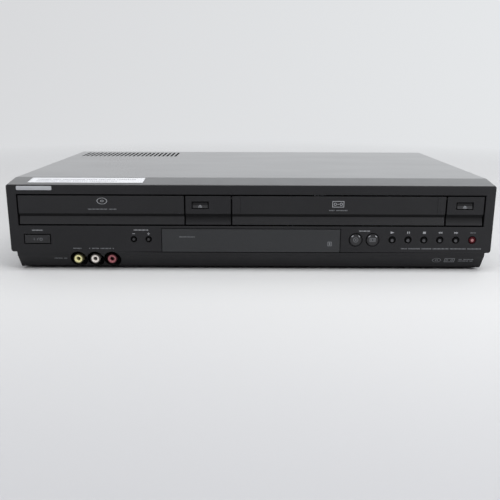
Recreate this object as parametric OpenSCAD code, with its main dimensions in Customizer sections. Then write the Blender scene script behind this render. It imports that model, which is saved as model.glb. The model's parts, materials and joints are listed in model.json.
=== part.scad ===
// Combination disc player and cassette recorder, full width.
// Millimetres. X to the right, Y to the back, Z up, front face towards -Y.
// The modules use y = 0 at the front face; cabinet() centres the set on its own box.

/* [Cabinet] */
// Overall width
case_w = 430; // [426:1:440]
// Overall height, feet included
case_h = 82.4; // [82:0.1:93]
// Depth from the front face to the rear edge of the cover
case_d = 260; // [258:1:290]
// Sheet steel of the top cover
cover_t = 1; // [0.8:0.1:1.2]
// How far the cover's sides stand in from the front moulding
cover_inset = 0.8; // [0.5:0.1:1.2]
// Sheet steel of the chassis and the rear panel
chassis_t = 1; // [0.8:0.1:1.2]
// Height of the rubber feet
foot_h = 2.5; // [2:0.1:4.4]
// Radius of the rubber feet
foot_r = 11; // [8:0.5:14]
// Foot centres from the sides and from the front
foot_inset = 38; // [34:1:60]
// Clearance between fixed sheet parts
seam = 0.2; // [0.1:0.05:0.3]
// Radius of the cover's long top edges
cover_r = 1.8; // [1.3:0.1:2.5]

/* [Vents] */
// Number of slots in the cover
vent_count = 23; // [15:1:24]
// Pitch of the slots
vent_pitch = 5; // [4:0.1:5.2]
// Width of one slot
vent_w = 2.6; // [1.8:0.1:3]
// Length of one slot
vent_l = 44; // [30:1:46]
// Rear end of the slots from the cover's rear edge
vent_rear = 11; // [8:1:16]
// First slot from the left side
vent_left = 14.5; // [12:0.5:20]

/* [Front moulding] */
// Depth of the moulding
bezel_d = 23; // [20:1:26]
// Rise of its sloping top
slope_rise = 3.1; // [3:0.1:5]
// Wall of its top and sides
bezel_t = 2.4; // [2:0.1:3]
// Wall of its front face
face_t = 2.6; // [2.2:0.1:3]
// Rounding of its corners
corner_r = 2.4; // [1:0.1:2.4]
// Height of the plinth under the fold
plinth_h = 15.8; // [15:0.1:17]
// Inset of the plinth's ends
plinth_inset = 5; // [4:0.5:7]
// How far the plinth's foot stands back from the face
plinth_lean = 9; // [8:0.1:10]
// Radius of the fold between the face and the plinth
fold_r = 8; // [4:0.5:10]

/* [Door recess] */
// Distance from the front top edge down to the recess
recess_drop = 8.9; // [7:0.1:9]
// Height of the recess
recess_h = 28.3; // [28:0.1:30]
// Distance of the recess from each side
recess_margin = 8.3; // [7:0.1:10]
// Depth of the recess
recess_deep = 3.2; // [3:0.1:3.6]
// Wall behind the recess
recess_wall = 1.2; // [1:0.1:1.6]
// Gap round the doors and panels
door_gap = 1.3; // [1:0.1:1.5]
// Width of the disc tray's door
disc_door_w = 146.2; // [144:0.2:148]
// Width of the cassette door
tape_door_w = 188.3; // [188:0.1:190]
// Width of the panel between the doors
mid_panel_w = 40; // [38:0.5:44]
// Distance of the cassette door's grooves from its ends
groove_in = 7; // [5:0.1:10]
// Width of the grooves
groove_w = 0.5; // [0.3:0.1:1]
// Depth of the grooves
groove_d = 0.25; // [0.1:0.05:0.4]
// Thickness of the doors
door_t = 2.8; // [2.6:0.1:2.9]
// Height of the lip under the crease
lip_h = 7.1; // [6:0.1:8]
// Height of the crease's upper flank
crease_h = 3.2; // [2.5:0.1:4]
// Depth of the crease
crease_d = 1.9; // [1:0.1:2.1]

/* [Display] */
// Width of the display window
window_w = 159; // [150:1:160]
// Height of the display window
window_h = 21; // [20:0.1:21.4]
// Thickness of the display window
window_t = 1.8; // [1.4:0.1:2]
// Gap at the window's sides and top
window_gap = 0.5; // [0.3:0.1:0.7]
// Ledge that the window seats on
window_ledge = 3; // [2:0.1:4]
// Width of the display glass
glass_w = 100; // [80:1:120]

/* [Buttons] */
// Height of the button row over the fold
row_rise = 11.9; // [10.6:0.1:12.1]
// Pitch of the transport buttons
key_pitch = 14.2; // [13.6:0.1:14.4]
// Centre of the record button from the right side
record_inset = 17.4; // [16:0.1:20]
// Radius of the transport caps
key_r = 2.5; // [2.2:0.1:2.7]
// Radius of the record cap
record_r = 2.9; // [2.5:0.1:3.1]
// Radius of the tracking caps
tracking_r = 2.1; // [1.8:0.1:2.3]
// Radius of the select caps
select_r = 5.6; // [5:0.1:5.8]
// Pitch of the select buttons
select_pitch = 15.1; // [14.8:0.1:15.6]
// Pitch of the tracking buttons
tracking_pitch = 13.2; // [12:0.1:14]
// Centre of the left tracking button from the left side
tracking_inset = 110.4; // [106:0.1:111]
// Gap round the small caps
key_gap = 0.7; // [0.4:0.1:0.8]
// Gap round the select caps
select_gap = 0.4; // [0.3:0.1:0.5]
// Gap round the power cap
power_gap = 0.9; // [0.4:0.1:1]
// Gap round the eject caps
eject_gap = 0.8; // [0.4:0.1:1]
// Width of the power cap
power_w = 22.3; // [18:0.1:24]
// Height of the power cap
power_h = 7.4; // [6:0.1:8]
// Centre of the power button from the left side
power_inset = 24.3; // [22:0.1:28]
// Width of the eject caps
eject_w = 13.4; // [11:0.1:14]
// Height of the eject caps
eject_h = 5; // [4.4:0.1:5.4]
// Height of the eject buttons over the crease
eject_rise = 7.2; // [6.6:0.1:8]
// Stroke of every button
key_stroke = 1; // [0.8:0.1:1]
// How far the round caps stand out
key_proud = 0.3; // [0.1:0.1:0.4]
// How far the select caps stand out
select_proud = 0.6; // [0.3:0.1:0.8]

/* [Phono jacks] */
// Radius of a phono jack's barrel
rca_r = 4.15; // [4.13:0.01:4.18]
// Bore for the plug's pin
rca_bore = 1.75; // [1.7:0.05:1.9]
// Length of the front barrels
front_rca_l = 9; // [8.4:0.1:9.4]
// Pitch of the front jacks
front_rca_pitch = 15.2; // [14.9:0.1:15.2]
// Middle front jack from the left side
front_rca_inset = 74.6; // [70:0.1:80]
// Height of the front jacks over the underside
front_rca_rise = 9; // [8.8:0.1:9.4]
// Radius of the jack pocket's lobes
lobe_r = 7.65; // [7.5:0.05:7.9]
// Depth of the pocket's floor behind the front face
pocket_y = 10; // [9.8:0.1:11]
// Length of the rear barrels
rear_rca_l = 8; // [7.5:0.1:9]
// Pitch of the rear jacks
rear_rca_pitch = 18; // [16:0.5:19]
// Bore of the rear barrels
barrel_bore = 3.2; // [3:0.1:3.4]

/* [Disc deck] */
// Radius of the disc recess
disc_r = 60.5; // [60.3:0.1:61]
// Width of the tray
tray_w = 130; // [128:0.5:131]
// Height of the tray
tray_h = 11; // [10.5:0.5:12]
// Length of the tray
tray_l = 165; // [162:1:168]
// Stroke of the tray
tray_stroke = 138; // [134:1:139]
// Module of the tray's rack and gears
tooth_m = 1.5; // [1.4:0.05:1.6]
// Teeth of the tray gear
gear_n = 16; // [14:1:18]
// Teeth of the motor pinion
pinion_n = 10; // [9:1:11]
// Tilt of the lowered lift frame
lift_deg = 6; // [5.8:0.1:6.2]
// Stroke of the pickup
pickup_stroke = 30; // [24:1:31]

/* [Tape deck] */
// Width of a cassette's cradle, inside
cradle_w = 190; // [189:0.2:190.5]
// Depth of the cradle
cradle_l = 75; // [70:1:76]
// Inner height of the cradle
cradle_h = 28; // [27:0.5:28]
// Stroke of the cradle inwards
load_in = 59; // [50:1:59]
// Stroke of the cradle downwards
load_down = 18; // [16:0.5:18]
// Radius of the head drum
drum_r = 31; // [31:0.1:31.2]
// Tilt of the head drum
drum_deg = 6; // [5:0.5:6.5]
// Radius of the capstan's flywheel
flywheel_r = 22; // [18:0.5:24]
// Stroke of the tape guides
guide_stroke = 44; // [36:1:45]

/* [Fits] */
// Radial clearance of a running shaft
run_fit = 0.05; // [0.03:0.01:0.08]
// Clearance of a sliding piece
slide_fit = 0.3; // [0.3:0.05:0.4]
// Facets of round parts
$fn = 48; // [24:4:96]

/* [Hidden] */
eps = 0.01;

// levels
floor_top = foot_h + chassis_t;
fold_z = foot_h + plinth_h;
front_top = case_h - slope_rise;
recess_z1 = front_top - recess_drop;
recess_z0 = recess_z1 - recess_h;
door_z0 = recess_z0 + door_gap;
door_z1 = recess_z1 - door_gap;
crease_z0 = door_z0 + lip_h;
crease_z1 = crease_z0 + crease_h;
cover_under = case_h - cover_t;

// cover screws: two in each side, three at the rear
screw_r = 1.45;
screw_hole = 1.6;
screw_y = [bezel_d + 40, case_d - 50];
screw_side_z = foot_h + 10;
screw_rear_x = [-150, 0, 150];
screw_rear_z = case_h - 5;

// widths
half_w = case_w / 2;
cover_x = half_w - cover_inset;
inner_x = cover_x - cover_t - seam;
plinth_x = half_w - plinth_inset;
recess_x = half_w - recess_margin;
tub_y = recess_deep + recess_wall;

// the four bays of the recess, from left to right
disc_door_x0 = -recess_x + door_gap;
disc_door_x1 = disc_door_x0 + disc_door_w;
mid_x0 = disc_door_x1 + door_gap;
mid_x1 = mid_x0 + mid_panel_w;
tape_door_x0 = mid_x1 + door_gap;
tape_door_x1 = tape_door_x0 + tape_door_w;
right_x0 = tape_door_x1 + door_gap;
right_x1 = recess_x - door_gap;

// rear
panel_y1 = case_d - cover_t - 0.5;
panel_y0 = panel_y1 - chassis_t;
jack_face = 0.6;
rear_y = panel_y1 + jack_face + rear_rca_l;
y_shift = -(rear_y - select_proud) / 2;

// buttons
row_z = fold_z + row_rise;
record_x = half_w - record_inset;
forward_x = record_x - key_pitch - 0.5;
play_x = forward_x - 4 * key_pitch;
select_x1 = play_x - 17.5;
select_x0 = select_x1 - select_pitch;
tracking_x0 = -half_w + tracking_inset;
tracking_z = row_z - 0.2;
power_x = -half_w + power_inset;
power_z = row_z - 0.3;
eject_z = crease_z1 + eject_rise;
disc_eject_x = mid_x0 + 13;
tape_eject_x = (right_x0 + right_x1) / 2 - 0.6;
cap_inner = 0.4;
flange_t = 0.8;
flange_lip = 0.8;
stem_r = 1.2;
stem_l = 0.5;
switch_half = 3;
select_rim = 0.8;
select_dish = 0.15;
board_y = 9.4;
board_t = 1.6;
board_z0 = fold_z + 2.9;

// bosses that carry the control board, as [x, z]
boss_r = 3;
boss_x = window_w / 2 + window_gap + boss_r + 1.5;
boss_z = board_z0 + 2.1;
boss_list = [[-boss_x, boss_z], [boss_x, boss_z], [-half_w + 55, door_z0 - 10], [half_w - 9, door_z0 - 7]];

// front jacks
front_rca_x = -half_w + front_rca_inset;
front_rca_z = foot_h + front_rca_rise;
lobe_z = front_rca_z - 0.8;
pocket_wall = 1.2;
rca_root = rca_r - 0.4;

// rear jacks: two rows of six in two blocks
rear_row_z = [foot_h + 21, foot_h + 39];
rear_block_x = [-60, 6];
rear_block_inset = 9;
rear_block_deep = 13;
ring_t = 1.2;
ring_r = 6.2;
row_top = ["green", "royalblue", "red", "gold", "white", "red"];
row_low = ["darkorange", "white", "red", "gold", "white", "red"];
svideo_x = 75;
svideo_r = 4.6;
aerial_x = [half_w - 81, half_w - 61];
aerial_z = foot_h + 30;
aerial_r = 4.75;
aerial_wall = 1.6;
tuner_x = [aerial_x[0] - 14, aerial_x[1] + 24];
tuner_z = [aerial_z - 16, aerial_z + 12];
tuner_deep = 25.8;
svideo_block = 7;
svideo_leg = 4;
svideo_pin_r = 0.45;
svideo_pin_at = 2.6;
inlet_x = -half_w + 30;
inlet_z = foot_h + 24;
inlet_w = 22;
inlet_h = 14;
inlet_deep = 14;
inlet_well = 11;
inlet_lobe_r = 4.4;
inlet_pin_r = 1.2;
inlet_pin_x = 4.2;

// disc deck
disc_cx = (disc_door_x0 + disc_door_x1) / 2;
disc_y = 70;
small_disc_r = 41;
hub_hole_r = 19;
laser_slot_x = 15;
laser_slot_l = 62;
finger_r = 9;
well_step = 0.9;
tray_rib = 2.5;
tray_z0 = door_z0 + 5.1;
tray_z1 = tray_z0 + tray_h;
tray_x = tray_w / 2;
plate_z0 = tray_z1 - 5.8;
recess_floor = tray_z1 - 3;
skirt_t = 3.5;
deck_x = tray_x + 5;
deck_z0 = tray_z0 - 10;
deck_z1 = tray_z1 + 5;
deck_y0 = 8;
deck_y1 = 184;
deck_floor_t = 2;
deck_wall = 3;
ledge_w = 8;
hold_w = 6;
hold_t = 2;
hold_y = [[24, 44], [150, 170]];
deck_post = 6;
gear_r = tooth_m * gear_n / 2;
pinion_r = tooth_m * pinion_n / 2;
rack_line = tray_x - skirt_t - 3.5;
gear_x = disc_cx - rack_line + gear_r;
gear_y = 22;
gear_z0 = deck_z0 + 4;
gear_h = 9.5;
gear_bore = 2.5;
rack_lift = 0.6;
rack_h = 3.4;
rack_back = 3.6;
motor_r = 10;
motor_h = 16;
motor_boss_r = 3;
motor_boss_h = 1.5;
motor_shaft_r = 1;
motor_shaft_l = 8;
pinion_x = gear_x + gear_r + pinion_r;
addendum = 0.87 * tooth_m;
dedendum = 1.2 * tooth_m;
tooth_half = 0.66 * tooth_m;
flank = tan(20);
pitch_l = PI * tooth_m;
lift_y = 150;
lift_z = tray_z0 - 4;
lift_x = 44;
lift_y0 = 44;
lift_t = 2;
trunnion_r = 2;
trunnion_l = 7.8;
bracket_t = 4;
bracket_half = 6;
rail_block = 6;
lift_hub_r = 12;
rod_x = 25;
rod_r = 1.5;
pickup_y = 84;
pickup_l = 28;
pickup_x = 29;
pickup_core_x = 20;
pickup_wing = 18;
lens_r = 4;
platter_z = tray_z1 - 0.8;
platter_r = 14;
platter_t = 2;
spindle_r = 1.2;
cone_r0 = 7.4;
cone_r1 = 6.4;
cone_h = 2.2;
puck_r = 15;
puck_neck_r = 11;
puck_rim_r = 14;
puck_hollow_r = 8.2;
bridge_half = 20;
bridge_leg_half = 12;
bridge_t = 1;
bridge_leg_t = 1.2;
bridge_hole_r = 12;

// tape deck
tape_cx = (tape_door_x0 + tape_door_x1) / 2;
deck_plate_z = foot_h + 9.3;
deck_plate_t = 1.5;
deck_top = deck_plate_z + deck_plate_t;
cheek_t = 1;
cheek_x = cradle_w / 2 + cheek_t;
strip_x0 = cheek_x + 0.6;
strip_x1 = strip_x0 + 0.8;
side_x0 = strip_x1 + 0.6;
side_t = 1.2;
side_x1 = side_x0 + side_t;
side_mid = (side_x0 + side_x1) / 2;
cradle_y0 = 13;
cradle_z0 = recess_z0 - 0.6;
cradle_z1 = cradle_z0 + 2 * cheek_t + cradle_h;
carriage_top = cradle_z1 + 5.5;
side_top = carriage_top;
slot_z = cradle_z1 + 1;
slot_half = 1.8;
side_y = [30, 152];
deck_post_r = 4;
reel_window_x = 20;
reel_window_y = [40, 120];
// the carriage's own pins run in the slots of the deck's sides, as distances behind the cradle's front
carriage_y = [47, 77];
carriage_pin_y = [57, 71];
carriage_pin_r = 1.5;
carriage_pin_l = 2.2;
carriage_bar = 2;
// the cradle's pins run in the carriage's upright slots
cradle_pin_y = [53, 69];
cradle_pin_r = 1.4;
cradle_pin_l = 1.4;
cradle_pin_slot = 1.7;
cradle_pin_z = cradle_z1 - 7;
cradle_shelf = 16;
cradle_stop_w = 20;
cradle_stop_h = 18;
cradle_roof_y = 23;
hinge_y = 2.2;
hinge_z = door_z1 - 2.2;
hinge_r = 1.2;
hinge_l = 3.8;
drum_y = 186;
drum_z = deck_top + 4.5;
drum_low = [2, 14];
drum_top = [14.3, 27];
drum_shaft_r = 3;
drum_cap_r = 12;
drum_cap_h = 3;
drum_foot_r = 22;
capstan_x = tape_cx + 60;
capstan_y = 166;
capstan_r = 2;
capstan_boss_h = 4.5;
capstan_boss_wall = 2.2;
capstan_h = 28;
flywheel_t = 5;
flywheel_gap = 1;
pinch_x = tape_cx + 84;
pinch_y = 158;
pinch_reach = 21;
pinch_rest = 196.8;
roller_r = 6.5;
roller_z = [5, 22];
pinch_post_r = 2.45;
pinch_post_h = 7;
pinch_hub_r = 5;
pinch_eye_r = 4;
pinch_bar_w = 4.4;
pinch_bar_t = 2.4;
pinch_pin_r = 1.45;
reel_x = 46;
reel_y = 86;
reel_r = 18;
reel_hub_r = 6.2;
reel_hub_h = 22;
reel_flange = [0.5, 4.5];
reel_pin_r = 2.45;
reel_pin_h = 18;
spline_l = 3.2;
spline_w = 2;
spline_h = 12;
guide_x = 38;
guide_y = 128;
guide_block = 5;
guide_foot_r = 1.9;
guide_slot = 2.2;
guide_pin_r = 1.5;
guide_roller_r = 3;
guide_roller_z = [9, 23];
// fixed heads as [x, y] from the drum's axis: the audio head at the right, the erase head at the left
head_at = [[52, -3], [-58, -21]];
head_w = 8;
head_deep = 10;
head_h = 20;
head_shield_w = 12;
head_shield_t = 2;
head_shield_h = 23;

// boards
board_z = floor_top + 7;
main_x = 61;
power_x0 = disc_cx - 66;
power_x1 = power_x0 + 102;
power_y = [panel_y0 - 59.5, panel_y0 - 13.5];
main_y = [bezel_d + 3, power_y[0] - 12];
sink_top = deck_z0 - 2;
// chips and a connector on the main board, each as [x from the disc's axis, y from its front edge, height]
main_parts = [
  [[-14, 14], [54, 82], 2.4], [[24, 40], [34, 46], 2], [[24, 40], [54, 66], 2], [[-56, -50], [34, 74], 8]
];
can_n = 6;
can_x = -30;
can_pitch = 12;
can_in = 18;
can_r = 3;
can_h = 9;
// smoothing capacitors as [x, y, radius] from the supply board's front left corner
smoothing_cans = [[20, 12, 9], [43, 34, 8], [60.5, 34, 8], [76, 34, 6]];
smoothing_can_h = 22;
sink_x = [power_x0 + 86, power_x0 + 89];
sink_y = [2, 38];
fin_n = 5;
fin_pitch = 8;
fin_t = 1.2;
fin_l = 8;
fuse = [[6, 28], [28, 33], 6];
core_x = [36, 70];
core_y = [2, 24];
core_t = 5;
post_r = 3;
post_in = 5;
post_x = main_x - post_in;

// ---- helpers ----

module cabinet() translate([0, y_shift, 0]) children();

module slab(x, y, z)
  translate([x[0], y[0], z[0]]) cube([x[1] - x[0], y[1] - y[0], z[1] - z[0]]);

module rod_z(x, y, z, r) translate([x, y, z[0]]) cylinder(h = z[1] - z[0], r = r);

module rod_y(x, y, z, r)
  translate([x, y[0], z]) rotate([-90, 0, 0]) cylinder(h = y[1] - y[0], r = r);

module rod_x(x, y, z, r)
  translate([x[0], y, z]) rotate([0, 90, 0]) cylinder(h = x[1] - x[0], r = r);

// a side outline in (y, z), carried along x
module along_x(x, outline)
  translate([x[0], 0, 0]) rotate([90, 0, 90]) linear_extrude(x[1] - x[0]) polygon(outline);

// a front outline in (x, z), carried along y
module along_y(y) translate([0, y[1], 0]) rotate([90, 0, 0]) linear_extrude(y[1] - y[0]) children();

module rounded_rect(x, z, r) {
  translate([x[0] + r, z[0]]) square([x[1] - x[0] - 2 * r, z[1] - z[0]]);
  translate([x[0], z[0] + r]) square([x[1] - x[0], z[1] - z[0] - 2 * r]);
  for (cx = [x[0] + r, x[1] - r], cz = [z[0] + r, z[1] - r]) translate([cx, cz]) circle(r);
}

module both_sides() {
  children();
  mirror([1, 0, 0]) children();
}

// ---- cabinet ----

module chassis_base() color("silver") cabinet() {
  y = [bezel_d + seam, panel_y1];
  difference() {
    union() {
      slab([-inner_x, inner_x], y, [foot_h, floor_top]);
      both_sides() slab([inner_x - chassis_t, inner_x], [y[0] + 8, panel_y0 - seam], [foot_h, fold_z]);
      for (x = [-post_x, post_x], sy = [main_y[0] + post_in, main_y[1] - post_in])
        rod_z(disc_cx + x, sy, [foot_h, board_z], post_r);
      for (x = [power_x0 + post_in, power_x1 - post_in], sy = [power_y[0] + post_in, power_y[1] - post_in])
        rod_z(x, sy, [foot_h, board_z], post_r);
    }
    for (i = [0 : 7])
      slab([power_x0 + 40 + i * 7, power_x0 + 43 + i * 7], [power_y[0] + 8, power_y[1] - 12],
           [foot_h - 1, floor_top + 1]);
    for (sy = screw_y) rod_x([-half_w, half_w], sy, screw_side_z, screw_hole);
  }
}

front_edge_r = 1.2;
front_edge = [for (a = [180 : -20 : 100])
  [front_edge_r * (1 + cos(a)), front_top - front_edge_r * (1 - sin(a))]];
slope_start = front_edge[len(front_edge) - 1];
slope_angle = atan((case_h - slope_start[1]) / (bezel_d - slope_start[0]));
bezel_side = concat([[0, fold_z]], front_edge, [[bezel_d, case_h], [bezel_d, fold_z]]);

bezel_hollow = [
  [face_t, fold_z - eps], [face_t, front_top - bezel_t],
  [bezel_d + 1, case_h - bezel_t], [bezel_d + 1, fold_z - eps]
];

// the arc of the fold turns by this angle before it meets the straight plinth
fold_deg = asin(fold_r / norm([plinth_h, fold_r - plinth_lean])) - atan2(fold_r - plinth_lean, plinth_h);

// the plinth's side outline, from top_z down round the fold to the underside
function plinth_side(top_z) = concat(
  [[bezel_d, foot_h], [bezel_d, top_z], [0, top_z]],
  [for (i = [0 : 6]) [fold_r * (1 - cos(i * fold_deg / 6)), fold_z - fold_r * sin(i * fold_deg / 6)]],
  [[plinth_lean, foot_h]]
);

plinth_hollow = [
  [face_t, fold_z + bezel_t + 1], [face_t, fold_z], [plinth_lean + bezel_t, foot_h + bezel_t],
  [bezel_d + 1, foot_h + bezel_t], [bezel_d + 1, fold_z + bezel_t + 1]
];

// face of the doors and panels: flat above, a crease, and a lip that leans out below
function door_side(back) = [
  [back, door_z0], [0.3, door_z0], [crease_d, crease_z0], [0, crease_z1], [0, door_z1], [back, door_z1]
];

module jack_lobes(y, r)
  for (i = [-1 : 1]) rod_y(front_rca_x + i * front_rca_pitch, y, lobe_z, r);

module key_holes(y) {
  for (i = [0 : 4]) rod_y(play_x + i * key_pitch, y, row_z, key_r + key_gap);
  rod_y(record_x, y, row_z, record_r + key_gap);
  for (x = [select_x0, select_x1]) rod_y(x, y, row_z, select_r + select_gap);
  for (i = [0, 1]) rod_y(tracking_x0 + i * tracking_pitch, y, tracking_z, tracking_r + key_gap);
  rect_hole(power_x, power_z, [power_w, power_h], y, power_gap);
  for (x = [disc_eject_x, tape_eject_x]) rect_hole(x, eject_z, [eject_w, eject_h], y, eject_gap);
}

module rect_hole(x, z, size, y, gap)
  slab([x - size[0] / 2 - gap, x + size[0] / 2 + gap], y, [z - size[1] / 2 - gap, z + size[1] / 2 + gap]);

module front_bezel() color("#2c2c2e") cabinet() difference() {
  union() {
    intersection() {
      union() {
        difference() {
          along_x([-half_w, half_w], bezel_side);
          along_x([-half_w + bezel_t, half_w - bezel_t], bezel_hollow);
        }
        slab([-half_w, half_w], [face_t, bezel_d], [fold_z, fold_z + bezel_t]);
      }
      // round corners under the face, and along the slope
      along_y([-1, bezel_d + 1]) rounded_rect([-half_w, half_w], [fold_z, case_h + corner_r], corner_r);
      translate([0, bezel_d, case_h]) rotate([slope_angle, 0, 0])
        along_y([-2 * bezel_d, bezel_d]) rounded_rect([-half_w, half_w], [-case_h, eps], corner_r);
    }
    along_x([-plinth_x, plinth_x], plinth_side(fold_z + bezel_t));
    slab([-recess_x - recess_wall, recess_x + recess_wall], [0.5, tub_y],
         [recess_z0 - recess_wall, recess_z1 + recess_wall]);
    // tongues under the cover
    slab([-half_w + 12, half_w - 12], [bezel_d - 3, bezel_d + 7],
         [cover_under - seam - 1.6, cover_under - seam]);
    both_sides() slab([inner_x - 1.6, inner_x], [bezel_d - 3, bezel_d + 7], [fold_z + 1, case_h - 8]);
    // bosses for the control board
    for (p = boss_list) rod_y(p[0], [1, board_y], p[1], boss_r);
    intersection() {
      jack_lobes([0, pocket_y + pocket_wall], lobe_r + pocket_wall);
      along_x([-half_w, half_w], plinth_side(fold_z + 5));
    }
  }
  // hollow of the plinth, clear of the jack pocket
  difference() {
    along_x([-plinth_x + bezel_t, plinth_x - bezel_t], plinth_hollow);
    jack_lobes([0, pocket_y + pocket_wall], lobe_r + pocket_wall);
    for (p = boss_list) rod_y(p[0], [1, board_y], p[1], boss_r);
  }
  // the recess, but for the two fixed panels
  difference() {
    slab([-recess_x, recess_x], [-1, recess_deep], [recess_z0, recess_z1]);
    along_x([mid_x0, mid_x1], door_side(recess_deep + eps));
    along_x([right_x0, right_x1], door_side(recess_deep + eps));
  }
  // way through for the tray and for a cassette
  slab([disc_cx - tray_x - 1, disc_cx + tray_x + 1], [0, tub_y + 1], [tray_z0 - 1, tray_z1 + 1]);
  slab([mid_x1, right_x0], [-1, tub_y + 1], [recess_z0, recess_z1]);
  // blind bores for the cassette door's pins
  rod_x([mid_x1 - 2.9, right_x0 + 2.9], hinge_y, hinge_z, hinge_r + run_fit);
  // seat and light opening of the display window
  slab([-window_w / 2 - window_gap, window_w / 2 + window_gap], [-1, window_t],
       [fold_z + 0.1, fold_z + 0.1 + window_h + window_gap]);
  slab([-window_w / 2 + window_ledge, window_w / 2 - window_ledge], [0, face_t + 1],
       [fold_z + 0.1 + window_ledge, fold_z + window_h - window_ledge]);
  key_holes([-1, tub_y + 1]);
  // jack pocket and the jacks' holes in its floor
  jack_lobes([-1, pocket_y], lobe_r);
  for (i = [-1 : 1])
    rod_y(front_rca_x + i * front_rca_pitch, [pocket_y - 1, pocket_y + pocket_wall + 1], front_rca_z, rca_root + seam);
}

module top_cover() color("#3a3b3d") cabinet() {
  x1 = cover_x;
  z0 = foot_h + 2.5;
  difference() {
    along_y([bezel_d + seam, case_d]) difference() {
      union() {
        rounded_rect([-x1, x1], [z0 + 10, case_h], cover_r);
        translate([-x1, z0]) square([2 * x1, 20]);
      }
      rounded_rect([-x1 + cover_t, x1 - cover_t], [z0 - 30, cover_under], cover_r - cover_t + 0.01);
    }
    for (i = [0 : vent_count - 1])
      slab([-half_w + vent_left + i * vent_pitch - vent_w / 2, -half_w + vent_left + i * vent_pitch + vent_w / 2],
           [case_d - vent_rear - vent_l, case_d - vent_rear], [cover_under - 1, case_h + 1]);
    for (y = screw_y) rod_x([-half_w - 1, half_w + 1], y, screw_side_z, screw_hole);
    for (x = screw_rear_x) rod_y(x, [case_d - 2, case_d + 1], screw_rear_z, screw_hole);
  }
  difference() {
    slab([-x1 + cover_r, x1 - cover_r], [case_d - cover_t, case_d], [case_h - 9, cover_under + eps]);
    for (x = screw_rear_x) rod_y(x, [case_d - 2, case_d + 1], screw_rear_z, screw_hole);
  }
}

module cover_screws() color("#1c1c1e") cabinet() {
  for (y = screw_y) both_sides() {
    rod_x([cover_x, cover_x + cover_inset], y, screw_side_z, 3.4);
    rod_x([inner_x - 4, cover_x + 0.1], y, screw_side_z, screw_r);
  }
  for (x = screw_rear_x) {
    rod_y(x, [case_d, case_d + 1.4], screw_rear_z, 3.2);
    rod_y(x, [panel_y0 - 3, case_d + 0.1], screw_rear_z, screw_r);
  }
}

module rear_panel() color("#8d8f92") cabinet() difference() {
  slab([-inner_x + chassis_t + seam, inner_x - chassis_t - seam], [panel_y0, panel_y1],
       [floor_top, cover_under - seam]);
  for (x0 = rear_block_x)
    slab([x0 - rear_block_inset - seam, x0 + 2 * rear_rca_pitch + rear_block_inset + seam],
         [panel_y0 - 1, panel_y1 + 1],
         [rear_row_z[0] - rear_block_inset - seam, rear_row_z[1] + rear_block_inset + seam]);
  slab([svideo_x - svideo_block - seam, svideo_x + svideo_block + seam], [panel_y0 - 1, panel_y1 + 1],
       [rear_row_z[0] - svideo_block - seam, rear_row_z[0] + svideo_block + seam]);
  for (x = aerial_x) rod_y(x, [panel_y0 - 1, panel_y1 + 1], aerial_z, aerial_r + 1.25);
  slab([inlet_x - inlet_w / 2 - seam, inlet_x + inlet_w / 2 + seam], [panel_y0 - 1, panel_y1 + 1],
       [inlet_z - inlet_h / 2 - seam, inlet_z + inlet_h / 2 + seam]);
  for (i = [0 : 13])
    slab([-160 + i * 6, -157 + i * 6], [panel_y0 - 1, panel_y1 + 1], [case_h - 30, case_h - 14]);
  for (x = screw_rear_x) rod_y(x, [panel_y0 - 1, panel_y1 + 1], screw_rear_z, screw_hole);
}

module feet() color("#151515") cabinet()
  for (y = [foot_inset, case_d - foot_inset + 8]) both_sides()
    translate([half_w - foot_inset, y, 0]) cylinder(h = foot_h, r1 = foot_r - 0.8, r2 = foot_r);

module display_window() color("#1d1d20") cabinet()
  slab([-window_w / 2, window_w / 2], [0, window_t], [fold_z + 0.15, fold_z + 0.1 + window_h]);

module cassette_door() color("#2c2c2e") cabinet() {
  difference() {
    along_x([tape_door_x0, tape_door_x1], door_side(door_t));
    for (x = [tape_door_x0 + groove_in, tape_door_x1 - groove_in - groove_w])
      slab([x, x + groove_w], [-1, groove_d], [crease_z1, door_z1 + 1]);
  }
  rod_x([tape_door_x0 - hinge_l, tape_door_x0 + 1], hinge_y, hinge_z, hinge_r);
  rod_x([tape_door_x1 - 1, tape_door_x1 + hinge_l], hinge_y, hinge_z, hinge_r);
}

// ---- buttons: cap, flange behind the wall and stem towards the switch ----

module round_key(x, z, r, gap, proud, wall) {
  difference() {
    rod_y(x, [-proud, wall + cap_inner + eps], z, r);
    rod_y(x, [-proud - 1, -proud + 0.25], z, r * 0.55);
  }
  rod_y(x, [wall + cap_inner, wall + cap_inner + flange_t], z, r + gap + flange_lip);
  rod_y(x, [wall + cap_inner, wall + cap_inner + flange_t + stem_l], z, stem_r);
}

module rect_key(x, z, size, gap, wall, face) {
  along_x([x - size[0] / 2, x + size[0] / 2], [
    [wall + cap_inner + eps, z - size[1] / 2], [face[0], z - size[1] / 2],
    [face[1], z], [face[2], z + size[1] / 2], [wall + cap_inner + eps, z + size[1] / 2]
  ]);
  rect_hole(x, z, size, [wall + cap_inner, wall + cap_inner + flange_t], gap + flange_lip);
  rod_y(x, [wall + cap_inner, wall + cap_inner + flange_t + stem_l], z, stem_r);
}

module small_key(i) color("#3b3b3d") cabinet()
  round_key(play_x + i * key_pitch, row_z, key_r, key_gap, key_proud, face_t);

module play_button() small_key(0);
module pause_button() small_key(1);
module stop_button() small_key(2);
module rewind_button() small_key(3);
module forward_button() small_key(4);
module record_button() color("#b98f94") cabinet()
  round_key(record_x, row_z, record_r, key_gap, key_proud, face_t);
module tracking_down_button() color("#2f2f31") cabinet()
  round_key(tracking_x0, tracking_z, tracking_r, key_gap, key_proud, face_t);
module tracking_up_button() color("#2f2f31") cabinet()
  round_key(tracking_x0 + tracking_pitch, tracking_z, tracking_r, key_gap, key_proud, face_t);

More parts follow.
